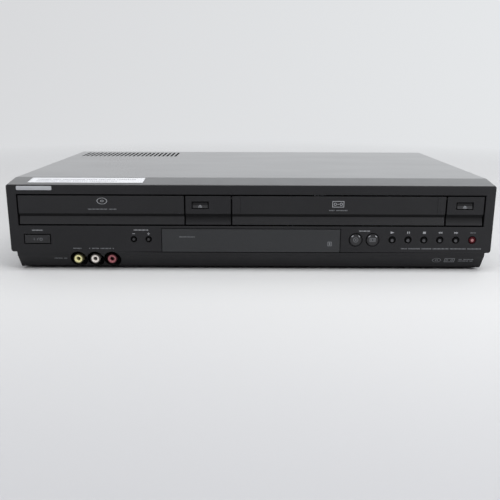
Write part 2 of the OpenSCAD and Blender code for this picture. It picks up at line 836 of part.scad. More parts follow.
module select_key(x) color("#2f2f31") cabinet() {
  difference() {
    rod_y(x, [-select_proud, face_t + cap_inner + eps], row_z, select_r);
    rod_y(x, [-select_proud - 1, -select_proud + select_dish], row_z, select_r - select_rim);
  }
  rod_y(x, [face_t + cap_inner, face_t + cap_inner + flange_t], row_z, select_r + select_gap + flange_lip);
  rod_y(x, [face_t + cap_inner, face_t + cap_inner + flange_t + stem_l], row_z, stem_r);
}

module select_disc_button() select_key(select_x0);
module select_tape_button() select_key(select_x1);
module power_button() color("#303032") cabinet()
  rect_key(power_x, power_z, [power_w, power_h], power_gap, face_t, [0, -0.1, 0]);
module disc_eject_button() color("#303032") cabinet()
  rect_key(disc_eject_x, eject_z, [eject_w, eject_h], eject_gap, tub_y, [-0.1, 0.5, 0.8]);
module tape_eject_button() color("#303032") cabinet()
  rect_key(tape_eject_x, eject_z, [eject_w, eject_h], eject_gap, tub_y, [-0.1, 0.5, 0.8]);

// ---- boards behind the front ----

// every button as [x, z, wall in front of it]
key_list = concat(
  [for (i = [0 : 4]) [play_x + i * key_pitch, row_z, face_t]],
  [[record_x, row_z, face_t], [select_x0, row_z, face_t], [select_x1, row_z, face_t]],
  [[tracking_x0, tracking_z, face_t], [tracking_x0 + tracking_pitch, tracking_z, face_t]],
  [[power_x, power_z, face_t], [disc_eject_x, eject_z, tub_y], [tape_eject_x, eject_z, tub_y]]
);

module front_board() color("#3f6a3a") cabinet() {
  slab([-half_w + 8, half_w - 5], [board_y, board_y + board_t], [board_z0, deck_z0 - 0.4]);
  slab([disc_cx + deck_x + 4, mid_x1 - 6], [board_y, board_y + board_t], [deck_z0 - 1, door_z1]);
  slab([right_x0 + 7, half_w - 5], [board_y, board_y + board_t], [deck_z0 - 1, door_z1]);
  for (k = key_list) {
    plunger = k[2] + cap_inner + flange_t + stem_l + key_stroke + slide_fit;
    rod_y(k[0], [plunger, board_y], k[1], stem_r);
    slab([k[0] - switch_half, k[0] + switch_half], [plunger + 0.6, board_y],
         [k[1] - switch_half, k[1] + switch_half]);
  }
}

module display_module() color("#20302c") cabinet() {
  slab([-glass_w / 2, glass_w / 2], [face_t + 1.4, board_y], [fold_z + 4, fold_z + 18]);
  slab([-glass_w / 2 - 4, glass_w / 2 + 4], [board_y - 2, board_y], [fold_z + 3.5, fold_z + 19]);
}

module front_jack_block() color("#1a1a1b") cabinet() {
  y0 = pocket_y + pocket_wall;
  slab([front_rca_x - 1.5 * front_rca_pitch, front_rca_x + 1.5 * front_rca_pitch], [y0, y0 + 10.8],
       [front_rca_z - 5.6, front_rca_z + 7]);
  for (i = [-1 : 1])
    rod_y(front_rca_x + i * front_rca_pitch, [y0 - 3, y0 + 1], front_rca_z, rca_bore - run_fit);
}

module front_jack(i) cabinet() {
  x = front_rca_x + i * front_rca_pitch;
  difference() {
    union() {
      rod_y(x, [pocket_y - front_rca_l, pocket_y], front_rca_z, rca_r);
      rod_y(x, [pocket_y - 1, pocket_y + pocket_wall], front_rca_z, rca_root);
    }
    rod_y(x, [pocket_y - front_rca_l - 1, pocket_y + pocket_wall + 1], front_rca_z, rca_bore);
    rod_y(x, [pocket_y - front_rca_l - 1, pocket_y - front_rca_l + 0.5], front_rca_z, rca_bore + 0.5);
  }
}

module front_jack_yellow() color("#e8e0a8") front_jack(-1);
module front_jack_white() color("#eeeae2") front_jack(0);
module front_jack_red() color("#8f3f48") front_jack(1);

// ---- rear connectors ----

module at_rear_jacks() for (b = [0, 1], c = [0 : 2], r = [0, 1]) {
  $column = 3 * b + c;
  $row = r;
  translate([rear_block_x[b] + c * rear_rca_pitch, panel_y1 + jack_face, rear_row_z[r]]) children();
}

module rear_jack_block() color("#161617") cabinet() {
  y = [panel_y1 + jack_face - rear_block_deep, panel_y1 + jack_face];
  difference() {
    union() for (x0 = rear_block_x)
      slab([x0 - rear_block_inset, x0 + 2 * rear_rca_pitch + rear_block_inset], y,
           [rear_row_z[0] - rear_block_inset, rear_row_z[1] + rear_block_inset]);
    at_rear_jacks() rod_y(0, [-5, 1], 0, barrel_bore - 0.2);
  }
  for (x0 = rear_block_x)
    slab([x0 + rear_rca_pitch - 8, x0 + rear_rca_pitch + 8], [y[0], panel_y0 - 1],
         [floor_top, rear_row_z[0] - rear_block_inset]);
  difference() {
    union() {
      slab([svideo_x - svideo_block, svideo_x + svideo_block], y,
           [rear_row_z[0] - svideo_block, rear_row_z[0] + svideo_block]);
      slab([svideo_x - svideo_leg, svideo_x + svideo_leg], [y[0], panel_y0 - 1],
           [floor_top, rear_row_z[0] - svideo_block]);
    }
    rod_y(svideo_x, [y[1] - 7, y[1] + 1], rear_row_z[0], svideo_r);
  }
}

module rear_jack_barrels() color("gainsboro") cabinet() {
  at_rear_jacks() difference() {
    union() {
      rod_y(0, [ring_t, rear_rca_l], 0, rca_r);
      rod_y(0, [0, ring_t + 1], 0, rca_root);
    }
    rod_y(0, [-1, rear_rca_l + 1], 0, barrel_bore);
  }
  for (a = [45 : 90 : 315])
    rod_y(svideo_x + svideo_pin_at * cos(a), [panel_y1 - 6.4, panel_y1 - 1],
          rear_row_z[0] + svideo_pin_at * sin(a), svideo_pin_r);
}

module rear_jack_rings() cabinet() at_rear_jacks() color($row == 0 ? row_low[$column] : row_top[$column]) {
  difference() {
    rod_y(0, [0, ring_t], 0, ring_r);
    rod_y(0, [-1, ring_t + 1], 0, rca_root + run_fit);
  }
  difference() {
    rod_y(0, [-4, rear_rca_l - 0.6], 0, barrel_bore - 0.25);
    rod_y(0, [-1, rear_rca_l + 1], 0, rca_bore);
  }
}

module aerial_sockets() color("gainsboro") cabinet()
  for (x = aerial_x) difference() {
    union() {
      rod_y(x, [panel_y0 - 1.2, panel_y1 + 0.8], aerial_z, aerial_r + 1);
      rod_y(x, [panel_y0 - 1.2, panel_y1 + jack_face + rear_rca_l], aerial_z, aerial_r);
    }
    rod_y(x, [panel_y1, rear_y + 1], aerial_z, aerial_r - aerial_wall);
  }

module mains_inlet() color("#131313") cabinet() {
  y = [panel_y1 + jack_face - inlet_deep, panel_y1 + jack_face];
  lobe_x = inlet_pin_x - 0.3;
  difference() {
    slab([inlet_x - inlet_w / 2, inlet_x + inlet_w / 2], y, [inlet_z - inlet_h / 2, inlet_z + inlet_h / 2]);
    for (s = [-1, 1]) rod_y(inlet_x + s * lobe_x, [y[1] - inlet_well, y[1] + 1], inlet_z, inlet_lobe_r);
    slab([inlet_x - lobe_x, inlet_x + lobe_x], [y[1] - inlet_well, y[1] + 1],
         [inlet_z - inlet_lobe_r, inlet_z + inlet_lobe_r]);
  }
  for (s = [-1, 1])
    rod_y(inlet_x + s * inlet_pin_x, [y[1] - inlet_well - 1, y[1] - 2], inlet_z, inlet_pin_r);
}

// ---- boards and supply ----

module main_board() color("#2f5f38") cabinet() {
  top = board_z + board_t;
  slab([disc_cx - main_x, disc_cx + main_x], main_y, [board_z, top]);
  for (part = main_parts)
    slab(disc_cx * [1, 1] + part[0], main_y[0] * [1, 1] + part[1], [top, top + part[2]]);
  for (i = [0 : can_n - 1])
    rod_z(disc_cx + can_x + i * can_pitch, main_y[1] - can_in, [top, top + can_h], can_r);
}

module power_board() color("#b08b4f") cabinet() {
  top = board_z + board_t;
  y0 = power_y[0];
  slab([power_x0, power_x1], power_y, [board_z, top]);
  for (can = smoothing_cans)
    rod_z(power_x0 + can[0], y0 + can[1], [top, top + smoothing_can_h], can[2]);
  slab(sink_x, y0 * [1, 1] + sink_y, [top, sink_top]);
  for (i = [0 : fin_n - 1])
    slab([sink_x[1], sink_x[1] + fin_l], (y0 + sink_y[0] + 2 + i * fin_pitch) * [1, 1] + [0, fin_t],
         [top, sink_top]);
  slab(power_x0 * [1, 1] + fuse[0], y0 * [1, 1] + fuse[1], [top, top + fuse[2]]);
}

module transformer() color("#c9a227") cabinet() {
  z = board_z + board_t;
  x = power_x0 * [1, 1] + core_x;
  y = power_y[0] * [1, 1] + core_y;
  slab(x, y, [z, z + core_t]);
  slab([x[0] + 3, x[1] - 3], [y[0] + 2, y[1] - 2], [z + core_t, sink_top + 0.3 - core_t]);
  slab(x, y, [sink_top + 0.3 - core_t, sink_top + 0.3]);
}

module tuner_can() color("gainsboro") cabinet() {
  slab(tuner_x, [panel_y0 - 1.2 - tuner_deep, panel_y0 - 1.2], tuner_z);
  for (x = [tuner_x[0] + 4, tuner_x[1] - 4])
    slab([x - 3, x + 3], [panel_y0 - 10, panel_y0 - 3], [floor_top, tuner_z[0]]);
}

// ---- disc deck ----

// a slab of width w against the inner face of the deck's left (-1) or right (1) edge
module at_deck_side(s, w, y, z)
  slab([disc_cx + s * (deck_x - w / 2) - w / 2, disc_cx + s * (deck_x - w / 2) + w / 2], y, z);

module disc_deck_frame() color("#26272a") cabinet() {
  difference() {
    union() {
      slab([disc_cx - deck_x, disc_cx + deck_x], [deck_y0, deck_y1], [deck_z0, deck_z0 + deck_floor_t]);
      for (s = [-1, 1]) {
        at_deck_side(s, deck_wall, [deck_y0, deck_y1], [deck_z0, deck_z1]);
        at_deck_side(s, ledge_w, [deck_y0, deck_y1], [deck_z0, tray_z0 - slide_fit]);
        for (y = hold_y) at_deck_side(s, hold_w, y, [tray_z1 + slide_fit, tray_z1 + slide_fit + hold_t]);
      }
      slab([disc_cx - deck_x, disc_cx + deck_x], [deck_y1 - deck_wall, deck_y1], [deck_z0, deck_z1]);
    }
    slab([disc_cx - lift_x - 4, disc_cx + lift_x + 4], [lift_y0 - 8, lift_y + 10],
         [deck_z0 - 1, deck_z0 + deck_floor_t + 1]);
    rod_z(pinion_x, gear_y, [deck_z0 - 1, deck_z0 + deck_floor_t + 1], motor_boss_r);
  }
  rod_z(gear_x, gear_y, [deck_z0, gear_z0 + gear_h + 0.3], gear_bore - run_fit);
  for (s = [-1, 1]) {
    x = disc_cx + s * (lift_x + 6);
    difference() {
      slab([x - bracket_t / 2, x + bracket_t / 2], [lift_y - bracket_half, lift_y + bracket_half],
           [deck_z0, lift_z + 3.4]);
      rod_x([x - bracket_t, x + bracket_t], lift_y, lift_z, trunnion_r + run_fit);
    }
    for (y = [bezel_d + 2, deck_y1 - 9]) at_deck_side(s, deck_post, [y, y + deck_post], [floor_top, deck_z0]);
  }
}

module disc_tray() color("#1b1b1d") cabinet() {
  y0 = door_t;
  rack_n = floor((tray_l - 10) / pitch_l);
  difference() {
    slab([disc_cx - tray_x, disc_cx + tray_x], [y0, y0 + tray_l], [plate_z0, tray_z1]);
    rod_z(disc_cx, disc_y, [recess_floor, tray_z1 + 1], disc_r);
    rod_z(disc_cx, disc_y, [recess_floor - well_step, tray_z1 + 1], small_disc_r);
    rod_z(disc_cx, disc_y, [plate_z0 - 1, tray_z1 + 1], hub_hole_r);
    slab([disc_cx - laser_slot_x, disc_cx + laser_slot_x], [disc_y, disc_y + laser_slot_l],
         [plate_z0 - 1, tray_z1 + 1]);
    for (s = [-1, 1]) rod_z(disc_cx + s * disc_r, disc_y, [recess_floor, tray_z1 + 1], finger_r);
  }
  for (x = [-tray_x, tray_x - skirt_t])
    slab([disc_cx + x, disc_cx + x + skirt_t], [y0, y0 + tray_l], [tray_z0, plate_z0 + eps]);
  slab([disc_cx - tray_x, disc_cx + tray_x], [y0, y0 + tray_rib], [tray_z0, plate_z0 + eps]);
  // rack on the left skirt
  translate([disc_cx - rack_line, gear_y + pitch_l / 2, 0])
    linear_extrude_between([tray_z0 + rack_lift, tray_z0 + rack_lift + rack_h]) {
      for (i = [-2 : rack_n - 4]) translate([0, i * pitch_l]) polygon([
        [-dedendum - 0.4, -tooth_half - dedendum * flank], [addendum, -tooth_half + addendum * flank],
        [addendum, tooth_half - addendum * flank], [-dedendum - 0.4, tooth_half + dedendum * flank]
      ]);
      translate([-rack_back, -2.5 * pitch_l]) square([rack_back - dedendum, (rack_n - 1) * pitch_l]);
    }
}

module linear_extrude_between(z) translate([0, 0, z[0]]) linear_extrude(z[1] - z[0]) children();

// straight-flanked teeth on a pitch circle
module gear_outline(n, turn) {
  r = tooth_m * n / 2;
  circle(r - dedendum);
  for (i = [0 : n - 1]) rotate(turn + i * 360 / n) polygon([
    [r - dedendum - 0.5, -tooth_half - dedendum * flank * 0.6], [r, -tooth_half],
    [r + addendum, -tooth_half + addendum * flank * 1.3], [r + addendum, tooth_half - addendum * flank * 1.3],
    [r, tooth_half], [r - dedendum - 0.5, tooth_half + dedendum * flank * 0.6]
  ]);
}

module tray_gear() color("ivory") cabinet() translate([gear_x, gear_y, 0])
  linear_extrude_between([gear_z0 + 0.3, gear_z0 + gear_h]) difference() {
    gear_outline(gear_n, 180);
    circle(gear_bore);
  }

module motor_pinion() color("ivory") cabinet() {
  translate([pinion_x, gear_y, 0]) linear_extrude_between([gear_z0 + 0.3, gear_z0 + gear_h])
    gear_outline(pinion_n, 180 + (gear_n % 2 == 0 ? 180 / pinion_n : 0));
  rod_z(pinion_x, gear_y, [deck_z0 - motor_shaft_l, gear_z0 + 1], motor_shaft_r);
}

module tray_motor() color("silver") cabinet() difference() {
  union() {
    rod_z(pinion_x, gear_y, [deck_z0 - motor_h, deck_z0], motor_r);
    rod_z(pinion_x, gear_y, [deck_z0 - motor_h - motor_boss_h, deck_z0 - motor_h + eps], motor_boss_r);
  }
  rod_z(pinion_x, gear_y, [deck_z0 - motor_shaft_l - 0.5, deck_z0 + 1], motor_shaft_r + run_fit);
}

module disc_door() color("#2c2c2e") cabinet()
  along_x([disc_door_x0, disc_door_x1], door_side(door_t));

module clamp_bridge() color("silver") cabinet() difference() {
  union() {
    slab([disc_cx - deck_x - bridge_leg_t, disc_cx + deck_x + bridge_leg_t],
         [disc_y - bridge_half, disc_y + bridge_half], [deck_z1, deck_z1 + bridge_t]);
    for (s = [-1, 1])
      slab([disc_cx + s * (deck_x + bridge_leg_t / 2) - bridge_leg_t / 2,
            disc_cx + s * (deck_x + bridge_leg_t / 2) + bridge_leg_t / 2],
           [disc_y - bridge_leg_half, disc_y + bridge_leg_half], [deck_z1 - 8, deck_z1 + bridge_t / 2]);
  }
  rod_z(disc_cx, disc_y, [deck_z1 - 1, deck_z1 + bridge_t + 1], bridge_hole_r);
}

module clamp_puck() color("#d8d8da") cabinet() difference() {
  union() {
    rod_z(disc_cx, disc_y, [tray_z1 + 0.5, tray_z1 + 3.4], puck_r);
    rod_z(disc_cx, disc_y, [tray_z1 + 3, deck_z1 + bridge_t + 0.8], puck_neck_r);
    rod_z(disc_cx, disc_y, [deck_z1 + bridge_t + 0.3, deck_z1 + bridge_t + 1.6], puck_rim_r);
  }
  rod_z(disc_cx, disc_y, [tray_z1, tray_z1 + 2.7], puck_hollow_r);
}

// the lift frame and what it carries are drawn level and hang lowered at rest
module lowered() cabinet() translate([0, lift_y, lift_z]) rotate([lift_deg, 0, 0])
  translate([0, -lift_y, -lift_z]) children();

module lift_frame() color("#3a3d42") lowered() {
  z = [lift_z - 0.2 - lift_t, lift_z - 0.2];
  half = rail_block / 2;
  difference() {
    slab([disc_cx - lift_x, disc_cx + lift_x], [lift_y0, lift_y + 3], z);
    slab([disc_cx - pickup_x - 2, disc_cx + pickup_x + 2], [pickup_y - 0.7, lift_y - 2],
         [z[0] - 1, z[1] + 1]);
  }
  rod_x([disc_cx - lift_x - trunnion_l, disc_cx - lift_x + 4], lift_y, lift_z, trunnion_r);
  rod_x([disc_cx + lift_x - 4, disc_cx + lift_x + trunnion_l], lift_y, lift_z, trunnion_r);
  for (s = [-1, 1]) {
    slab([disc_cx + s * (lift_x - half) - half, disc_cx + s * (lift_x - half) + half],
         [lift_y - half, lift_y + half], [z[0], lift_z + 1]);
    for (y = [pickup_y - 3.7, lift_y - 2])
      slab([disc_cx + s * rod_x - half, disc_cx + s * rod_x + half], [y, y + half], [z[0], lift_z + 5]);
    rod_y(disc_cx + s * rod_x, [pickup_y - 1, lift_y - 1], lift_z + half, rod_r);
  }
  difference() {
    rod_z(disc_cx, disc_y, [z[0], lift_z + 7], lift_hub_r);
    rod_z(disc_cx, disc_y, [z[1] - 1, lift_z + 8], spindle_r + run_fit);
  }
}

module turntable() color("#202124") lowered() {
  rod_z(disc_cx, disc_y, [lift_z + 0.5, platter_z], spindle_r);
  rod_z(disc_cx, disc_y, [platter_z - platter_t, platter_z], platter_r);
  translate([disc_cx, disc_y, platter_z - eps]) cylinder(h = cone_h, r1 = cone_r0, r2 = cone_r1);
}

module pickup() color("#4b4f56") lowered() difference() {
  union() {
    slab([disc_cx - pickup_x, disc_cx + pickup_x], [pickup_y, pickup_y + pickup_wing],
         [lift_z + 0.4, lift_z + 6.2]);
    slab([disc_cx - pickup_core_x, disc_cx + pickup_core_x], [pickup_y, pickup_y + pickup_l],
         [lift_z + 0.4, lift_z + 7.4]);
    rod_z(disc_cx, pickup_y + 11, [lift_z + 7, lift_z + 10.6], lens_r);
  }
  for (s = [-1, 1])
    rod_y(disc_cx + s * rod_x, [pickup_y - 1, pickup_y + pickup_l + 1], lift_z + rail_block / 2,
          rod_r + run_fit);
}

// ---- tape deck ----

module tape_deck_frame() color("#a9acb0") cabinet() {
  difference() {
    union() {
      slab([tape_cx - side_x1, tape_cx + side_x1], [bezel_d - 3, drum_y + drum_r + 5],
           [deck_plate_z, deck_top]);
      for (s = [-1, 1])
        slab([tape_cx + s * side_mid - side_t / 2, tape_cx + s * side_mid + side_t / 2],
             side_y, [deck_plate_z, side_top]);
      rod_z(capstan_x, capstan_y, [deck_top - eps, deck_top + capstan_boss_h], capstan_r + capstan_boss_wall);
      for (s = [-1, 1])
        rod_z(tape_cx + s * reel_x, reel_y, [deck_top - eps, deck_top + reel_pin_h], reel_pin_r);
      rod_z(pinch_x, pinch_y, [deck_top - eps, deck_top + pinch_post_h], pinch_post_r);
      for (s = [-1, 1], y = [bezel_d + 7, drum_y + drum_r - 1])
        rod_z(tape_cx + s * (side_x1 - 7), y, [floor_top, deck_plate_z + eps], deck_post_r);
    }
    rod_z(capstan_x, capstan_y, [deck_plate_z - 1, deck_top + capstan_boss_h + 1], capstan_r + run_fit);
    for (s = [-1, 1]) {
      slab([tape_cx + s * guide_x - guide_slot, tape_cx + s * guide_x + guide_slot],
           [guide_y - guide_slot, guide_y + guide_stroke + guide_slot], [deck_plate_z - 1, deck_top + 1]);
      slab([tape_cx + s * side_mid - 2, tape_cx + s * side_mid + 2],
           [cradle_y0 + carriage_pin_y[0] - 2, cradle_y0 + carriage_pin_y[1] + load_in + 4],
           [slot_z - slot_half, slot_z + slot_half]);
    }
    slab([tape_cx - reel_window_x, tape_cx + reel_window_x], reel_window_y, [deck_plate_z - 1, deck_top + 1]);
  }
}

module cradle_carriage() color("#c7c9cc") cabinet() {
  strip_half = (strip_x1 - strip_x0) / 2;
  for (s = [-1, 1]) {
    x = tape_cx + s * (strip_x0 + strip_x1) / 2;
    difference() {
      slab([x - strip_half, x + strip_half], cradle_y0 * [1, 1] + carriage_y, [cradle_z0 + 1, carriage_top]);
      for (y = cradle_pin_y)
        slab([x - 2, x + 2], [cradle_y0 + y - cradle_pin_slot, cradle_y0 + y + cradle_pin_slot],
             [cradle_pin_z - load_down - cradle_pin_slot, cradle_pin_z + cradle_pin_slot]);
    }
    for (y = carriage_pin_y)
      rod_x([x - strip_half - (s > 0 ? 0 : carriage_pin_l), x + strip_half + (s > 0 ? carriage_pin_l : 0)],
            cradle_y0 + y, slot_z, carriage_pin_r);
  }
  slab([tape_cx - strip_x1, tape_cx + strip_x1], [cradle_y0 + carriage_pin_y[1], cradle_y0 + carriage_y[1]],
       [carriage_top - carriage_bar, carriage_top]);
}

module cassette_cradle() color("#d9dadd") cabinet() {
  y1 = cradle_y0 + cradle_l;
  for (s = [-1, 1]) {
    x = tape_cx + s * (cheek_x - cheek_t / 2);
    shelf_x = tape_cx + s * (cheek_x - cradle_shelf / 2);
    stop_x = tape_cx + s * (cheek_x - cradle_stop_w / 2);
    slab([x - cheek_t / 2, x + cheek_t / 2], [cradle_y0, y1], [cradle_z0, cradle_z1]);
    slab([shelf_x - cradle_shelf / 2, shelf_x + cradle_shelf / 2], [cradle_y0, y1 - 7],
         [cradle_z0, cradle_z0 + cheek_t]);
    slab([stop_x - cradle_stop_w / 2, stop_x + cradle_stop_w / 2], [y1 - cheek_t, y1],
         [cradle_z0, cradle_z0 + cradle_stop_h]);
    for (y = cradle_pin_y)
      rod_x([x - cheek_t / 2 - (s > 0 ? 0 : cradle_pin_l), x + cheek_t / 2 + (s > 0 ? cradle_pin_l : 0)],
            cradle_y0 + y, cradle_pin_z, cradle_pin_r);
  }
  slab([tape_cx - cheek_x, tape_cx + cheek_x], [cradle_y0 + cradle_roof_y, y1],
       [cradle_z1 - cheek_t, cradle_z1]);
}

module tilted() cabinet() translate([tape_cx, drum_y, drum_z]) rotate([-drum_deg, 0, 0]) children();

module drum_base() color("#b9bcc0") {
  difference() {
    union() {
      tilted() rod_z(0, 0, drum_low, drum_r);
      cabinet() rod_z(tape_cx, drum_y, [deck_top, drum_z + 4], drum_foot_r);
    }
    tilted() rod_z(0, 0, [drum_low[0] - 1, drum_low[1] + 2], drum_shaft_r + run_fit);
  }
}

module head_drum() color("gainsboro") tilted() {
  rod_z(0, 0, drum_top, drum_r);
  rod_z(0, 0, [drum_low[0] + 1, drum_top[1] + drum_cap_h], drum_shaft_r);
  rod_z(0, 0, [drum_top[1] - eps, drum_top[1] + drum_cap_h], drum_cap_r);
}

module capstan() color("silver") cabinet() {
  z = deck_plate_z - flywheel_gap;
  rod_z(capstan_x, capstan_y, [z - flywheel_t + 1, deck_top + capstan_h], capstan_r);
  rod_z(capstan_x, capstan_y, [z - flywheel_t, z], flywheel_r);
}

pinch_end = [pinch_x + pinch_reach * cos(pinch_rest), pinch_y + pinch_reach * sin(pinch_rest)];

module pinch_arm() color("#8a8d92") cabinet() {
  difference() {
    union() {
      rod_z(pinch_x, pinch_y, [deck_top + 0.5, deck_top + 5], pinch_hub_r);
      translate([pinch_x, pinch_y, deck_top + 1.8]) rotate([0, 0, pinch_rest])
        translate([3.2, -pinch_bar_w / 2, 0]) cube([pinch_reach - 5.2, pinch_bar_w, pinch_bar_t]);
      rod_z(pinch_end[0], pinch_end[1], [deck_top + 1.5, deck_top + 4.5], pinch_eye_r);
    }
    rod_z(pinch_x, pinch_y, [deck_top, deck_top + 6], pinch_post_r + run_fit);
  }
  rod_z(pinch_end[0], pinch_end[1], [deck_top + 4, deck_top + roller_z[1] + 2], pinch_pin_r);
}

module pinch_roller() color("#1f1f20") cabinet() difference() {
  rod_z(pinch_end[0], pinch_end[1], deck_top * [1, 1] + roller_z, roller_r);
  rod_z(pinch_end[0], pinch_end[1], [deck_top, deck_top + roller_z[1] + 3], pinch_pin_r + run_fit);
}

module reel(s) color("#e6e6e6") cabinet() difference() {
  x = tape_cx + s * reel_x;
  union() {
    rod_z(x, reel_y, deck_top * [1, 1] + reel_flange, reel_r);
    rod_z(x, reel_y, [deck_top + 4, deck_top + reel_hub_h], reel_hub_r);
    for (a = [0, 120, 240]) translate([x, reel_y, deck_top + 8]) rotate([0, 0, a + 30])
      translate([reel_hub_r - 1.2, -spline_w / 2, 0]) cube([spline_l, spline_w, spline_h]);
  }
  rod_z(x, reel_y, [deck_top, deck_top + reel_pin_h + 0.4], reel_pin_r + run_fit);
}

module supply_reel() reel(-1);
module takeup_reel() reel(1);

module guide(s) color("silver") cabinet() {
  x = tape_cx + s * guide_x;
  slab([x - guide_block, x + guide_block], [guide_y - guide_block, guide_y + guide_block],
       [deck_top + 0.3, deck_top + 5]);
  rod_z(x, guide_y, [deck_plate_z - 0.5, deck_top + 1], guide_foot_r);
  rod_z(x, guide_y, [deck_top + 4, deck_top + guide_roller_z[1] + 3], guide_pin_r);
  rod_z(x, guide_y, deck_top * [1, 1] + guide_roller_z, guide_roller_r);
}

module supply_guide() guide(-1);
module takeup_guide() guide(1);

module tape_heads() color("#9a8c66") cabinet() {
  for (at = head_at) {
    x = tape_cx + at[0];
    y = drum_y + at[1];
    slab([x - head_w / 2, x + head_w / 2], [y - head_deep / 2, y + head_deep / 2],
         [deck_top, deck_top + head_h]);
    slab([x - head_shield_w / 2, x + head_shield_w / 2],
         [y + head_deep / 2 - eps, y + head_deep / 2 + head_shield_t], [deck_top, deck_top + head_shield_h]);
  }
}

chassis_base();
front_bezel();
top_cover();
rear_panel();
feet();
cover_screws();
display_window();
cassette_door();
power_button();
disc_eject_button();
tape_eject_button();
tracking_down_button();
tracking_up_button();
select_disc_button();
select_tape_button();
play_button();
pause_button();
stop_button();
rewind_button();
forward_button();
record_button();
front_board();
display_module();
front_jack_block();
front_jack_yellow();
front_jack_white();
front_jack_red();
rear_jack_block();
rear_jack_barrels();
rear_jack_rings();
aerial_sockets();
mains_inlet();
main_board();
power_board();
transformer();
tuner_can();
disc_deck_frame();
disc_tray();
disc_door();
clamp_bridge();
clamp_puck();
lift_frame();
turntable();
pickup();
tray_gear();
motor_pinion();
tray_motor();
tape_deck_frame();
cradle_carriage();
cassette_cradle();
drum_base();
head_drum();
capstan();
pinch_arm();
pinch_roller();
supply_reel();
takeup_reel();
supply_guide();
takeup_guide();
tape_heads();
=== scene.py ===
import json
import math

import bmesh
import bpy
import numpy as np
from mathutils import Matrix, Vector

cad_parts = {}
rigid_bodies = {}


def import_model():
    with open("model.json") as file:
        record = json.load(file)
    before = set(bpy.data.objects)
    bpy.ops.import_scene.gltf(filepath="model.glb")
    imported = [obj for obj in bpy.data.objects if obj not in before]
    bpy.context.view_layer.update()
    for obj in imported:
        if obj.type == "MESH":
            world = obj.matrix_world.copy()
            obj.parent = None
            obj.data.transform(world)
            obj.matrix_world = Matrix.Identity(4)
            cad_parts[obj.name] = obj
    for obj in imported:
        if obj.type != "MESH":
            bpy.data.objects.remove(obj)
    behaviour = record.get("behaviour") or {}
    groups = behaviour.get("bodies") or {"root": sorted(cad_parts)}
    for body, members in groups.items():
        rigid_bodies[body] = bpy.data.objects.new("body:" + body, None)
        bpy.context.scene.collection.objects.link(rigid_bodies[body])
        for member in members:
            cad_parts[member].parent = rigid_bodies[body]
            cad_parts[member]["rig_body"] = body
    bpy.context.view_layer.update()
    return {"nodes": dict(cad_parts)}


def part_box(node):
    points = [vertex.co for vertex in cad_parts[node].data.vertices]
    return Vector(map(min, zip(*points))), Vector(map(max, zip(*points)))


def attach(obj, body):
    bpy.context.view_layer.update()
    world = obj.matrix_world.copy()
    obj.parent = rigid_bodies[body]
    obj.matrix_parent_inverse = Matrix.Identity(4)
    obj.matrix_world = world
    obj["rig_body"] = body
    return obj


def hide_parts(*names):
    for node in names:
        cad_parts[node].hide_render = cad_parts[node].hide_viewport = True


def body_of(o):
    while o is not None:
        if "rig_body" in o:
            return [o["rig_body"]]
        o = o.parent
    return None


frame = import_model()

MM = 0.001
cad = frame["nodes"]


def tone(red, green, blue):
    """A colour as it looks, from 0 to 255, turned into linear light."""
    seen = np.array([red, green, blue]) / 255
    light = np.where(seen <= 0.04045, seen / 12.92, ((seen + 0.055) / 1.055) ** 2.4)
    return (*light.tolist(), 1.0)


def middle(node):
    """The middle of a node's box."""
    low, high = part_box(node)
    return (low + high) / 2


# ---- places, in metres, from the frame ----

BEZEL_LOW, BEZEL_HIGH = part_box("front_bezel")
HALF_W = BEZEL_HIGH.x
FACE_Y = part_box("display_window")[0].y
FOLD_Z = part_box("display_window")[0].z - 0.15 * MM
FOOT_Z = BEZEL_LOW.z
FOLD_R = 8 * MM
PLINTH_LEAN = 9 * MM
PAINTED_SHADE_START, PAINTED_SHADE_LEAN = FOLD_Z - 2.55 * MM, 0.674  # the plinth as a straight line, for its painted shade
SLOPE_BACK = BEZEL_HIGH.z
SLOPE_FRONT = SLOPE_BACK - 3.1 * MM
SLOPE_DEPTH = 23 * MM
CREASE = [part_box("disc_door")[0].z + rise * MM for rise in (7.1, 10.3)]
BAYS_HALF_W = 205.5 * MM
PRINT = 0.03 * MM
REAR_JACK_PITCH = 18 * MM
SIDE_SCREW_PITCH = 147 * MM
REAR_SCREW_PITCH = 150 * MM


def front_depth(z):
    """How far the front stands behind its face at height z: nothing above the fold, then the
    fold's arc, then the straight lean of the plinth."""
    drop, lean = FOLD_Z - FOOT_Z, PLINTH_LEAN
    turn = math.asin(FOLD_R / math.hypot(drop, FOLD_R - lean)) - math.atan2(FOLD_R - lean, drop)
    below = np.maximum(FOLD_Z - z, 0)
    arc = FOLD_R * (1 - np.sqrt(1 - np.minimum(below / FOLD_R, math.sin(turn)) ** 2))
    return arc + np.maximum(below - FOLD_R * math.sin(turn), 0) * math.tan(turn)


# ---- finishes ----


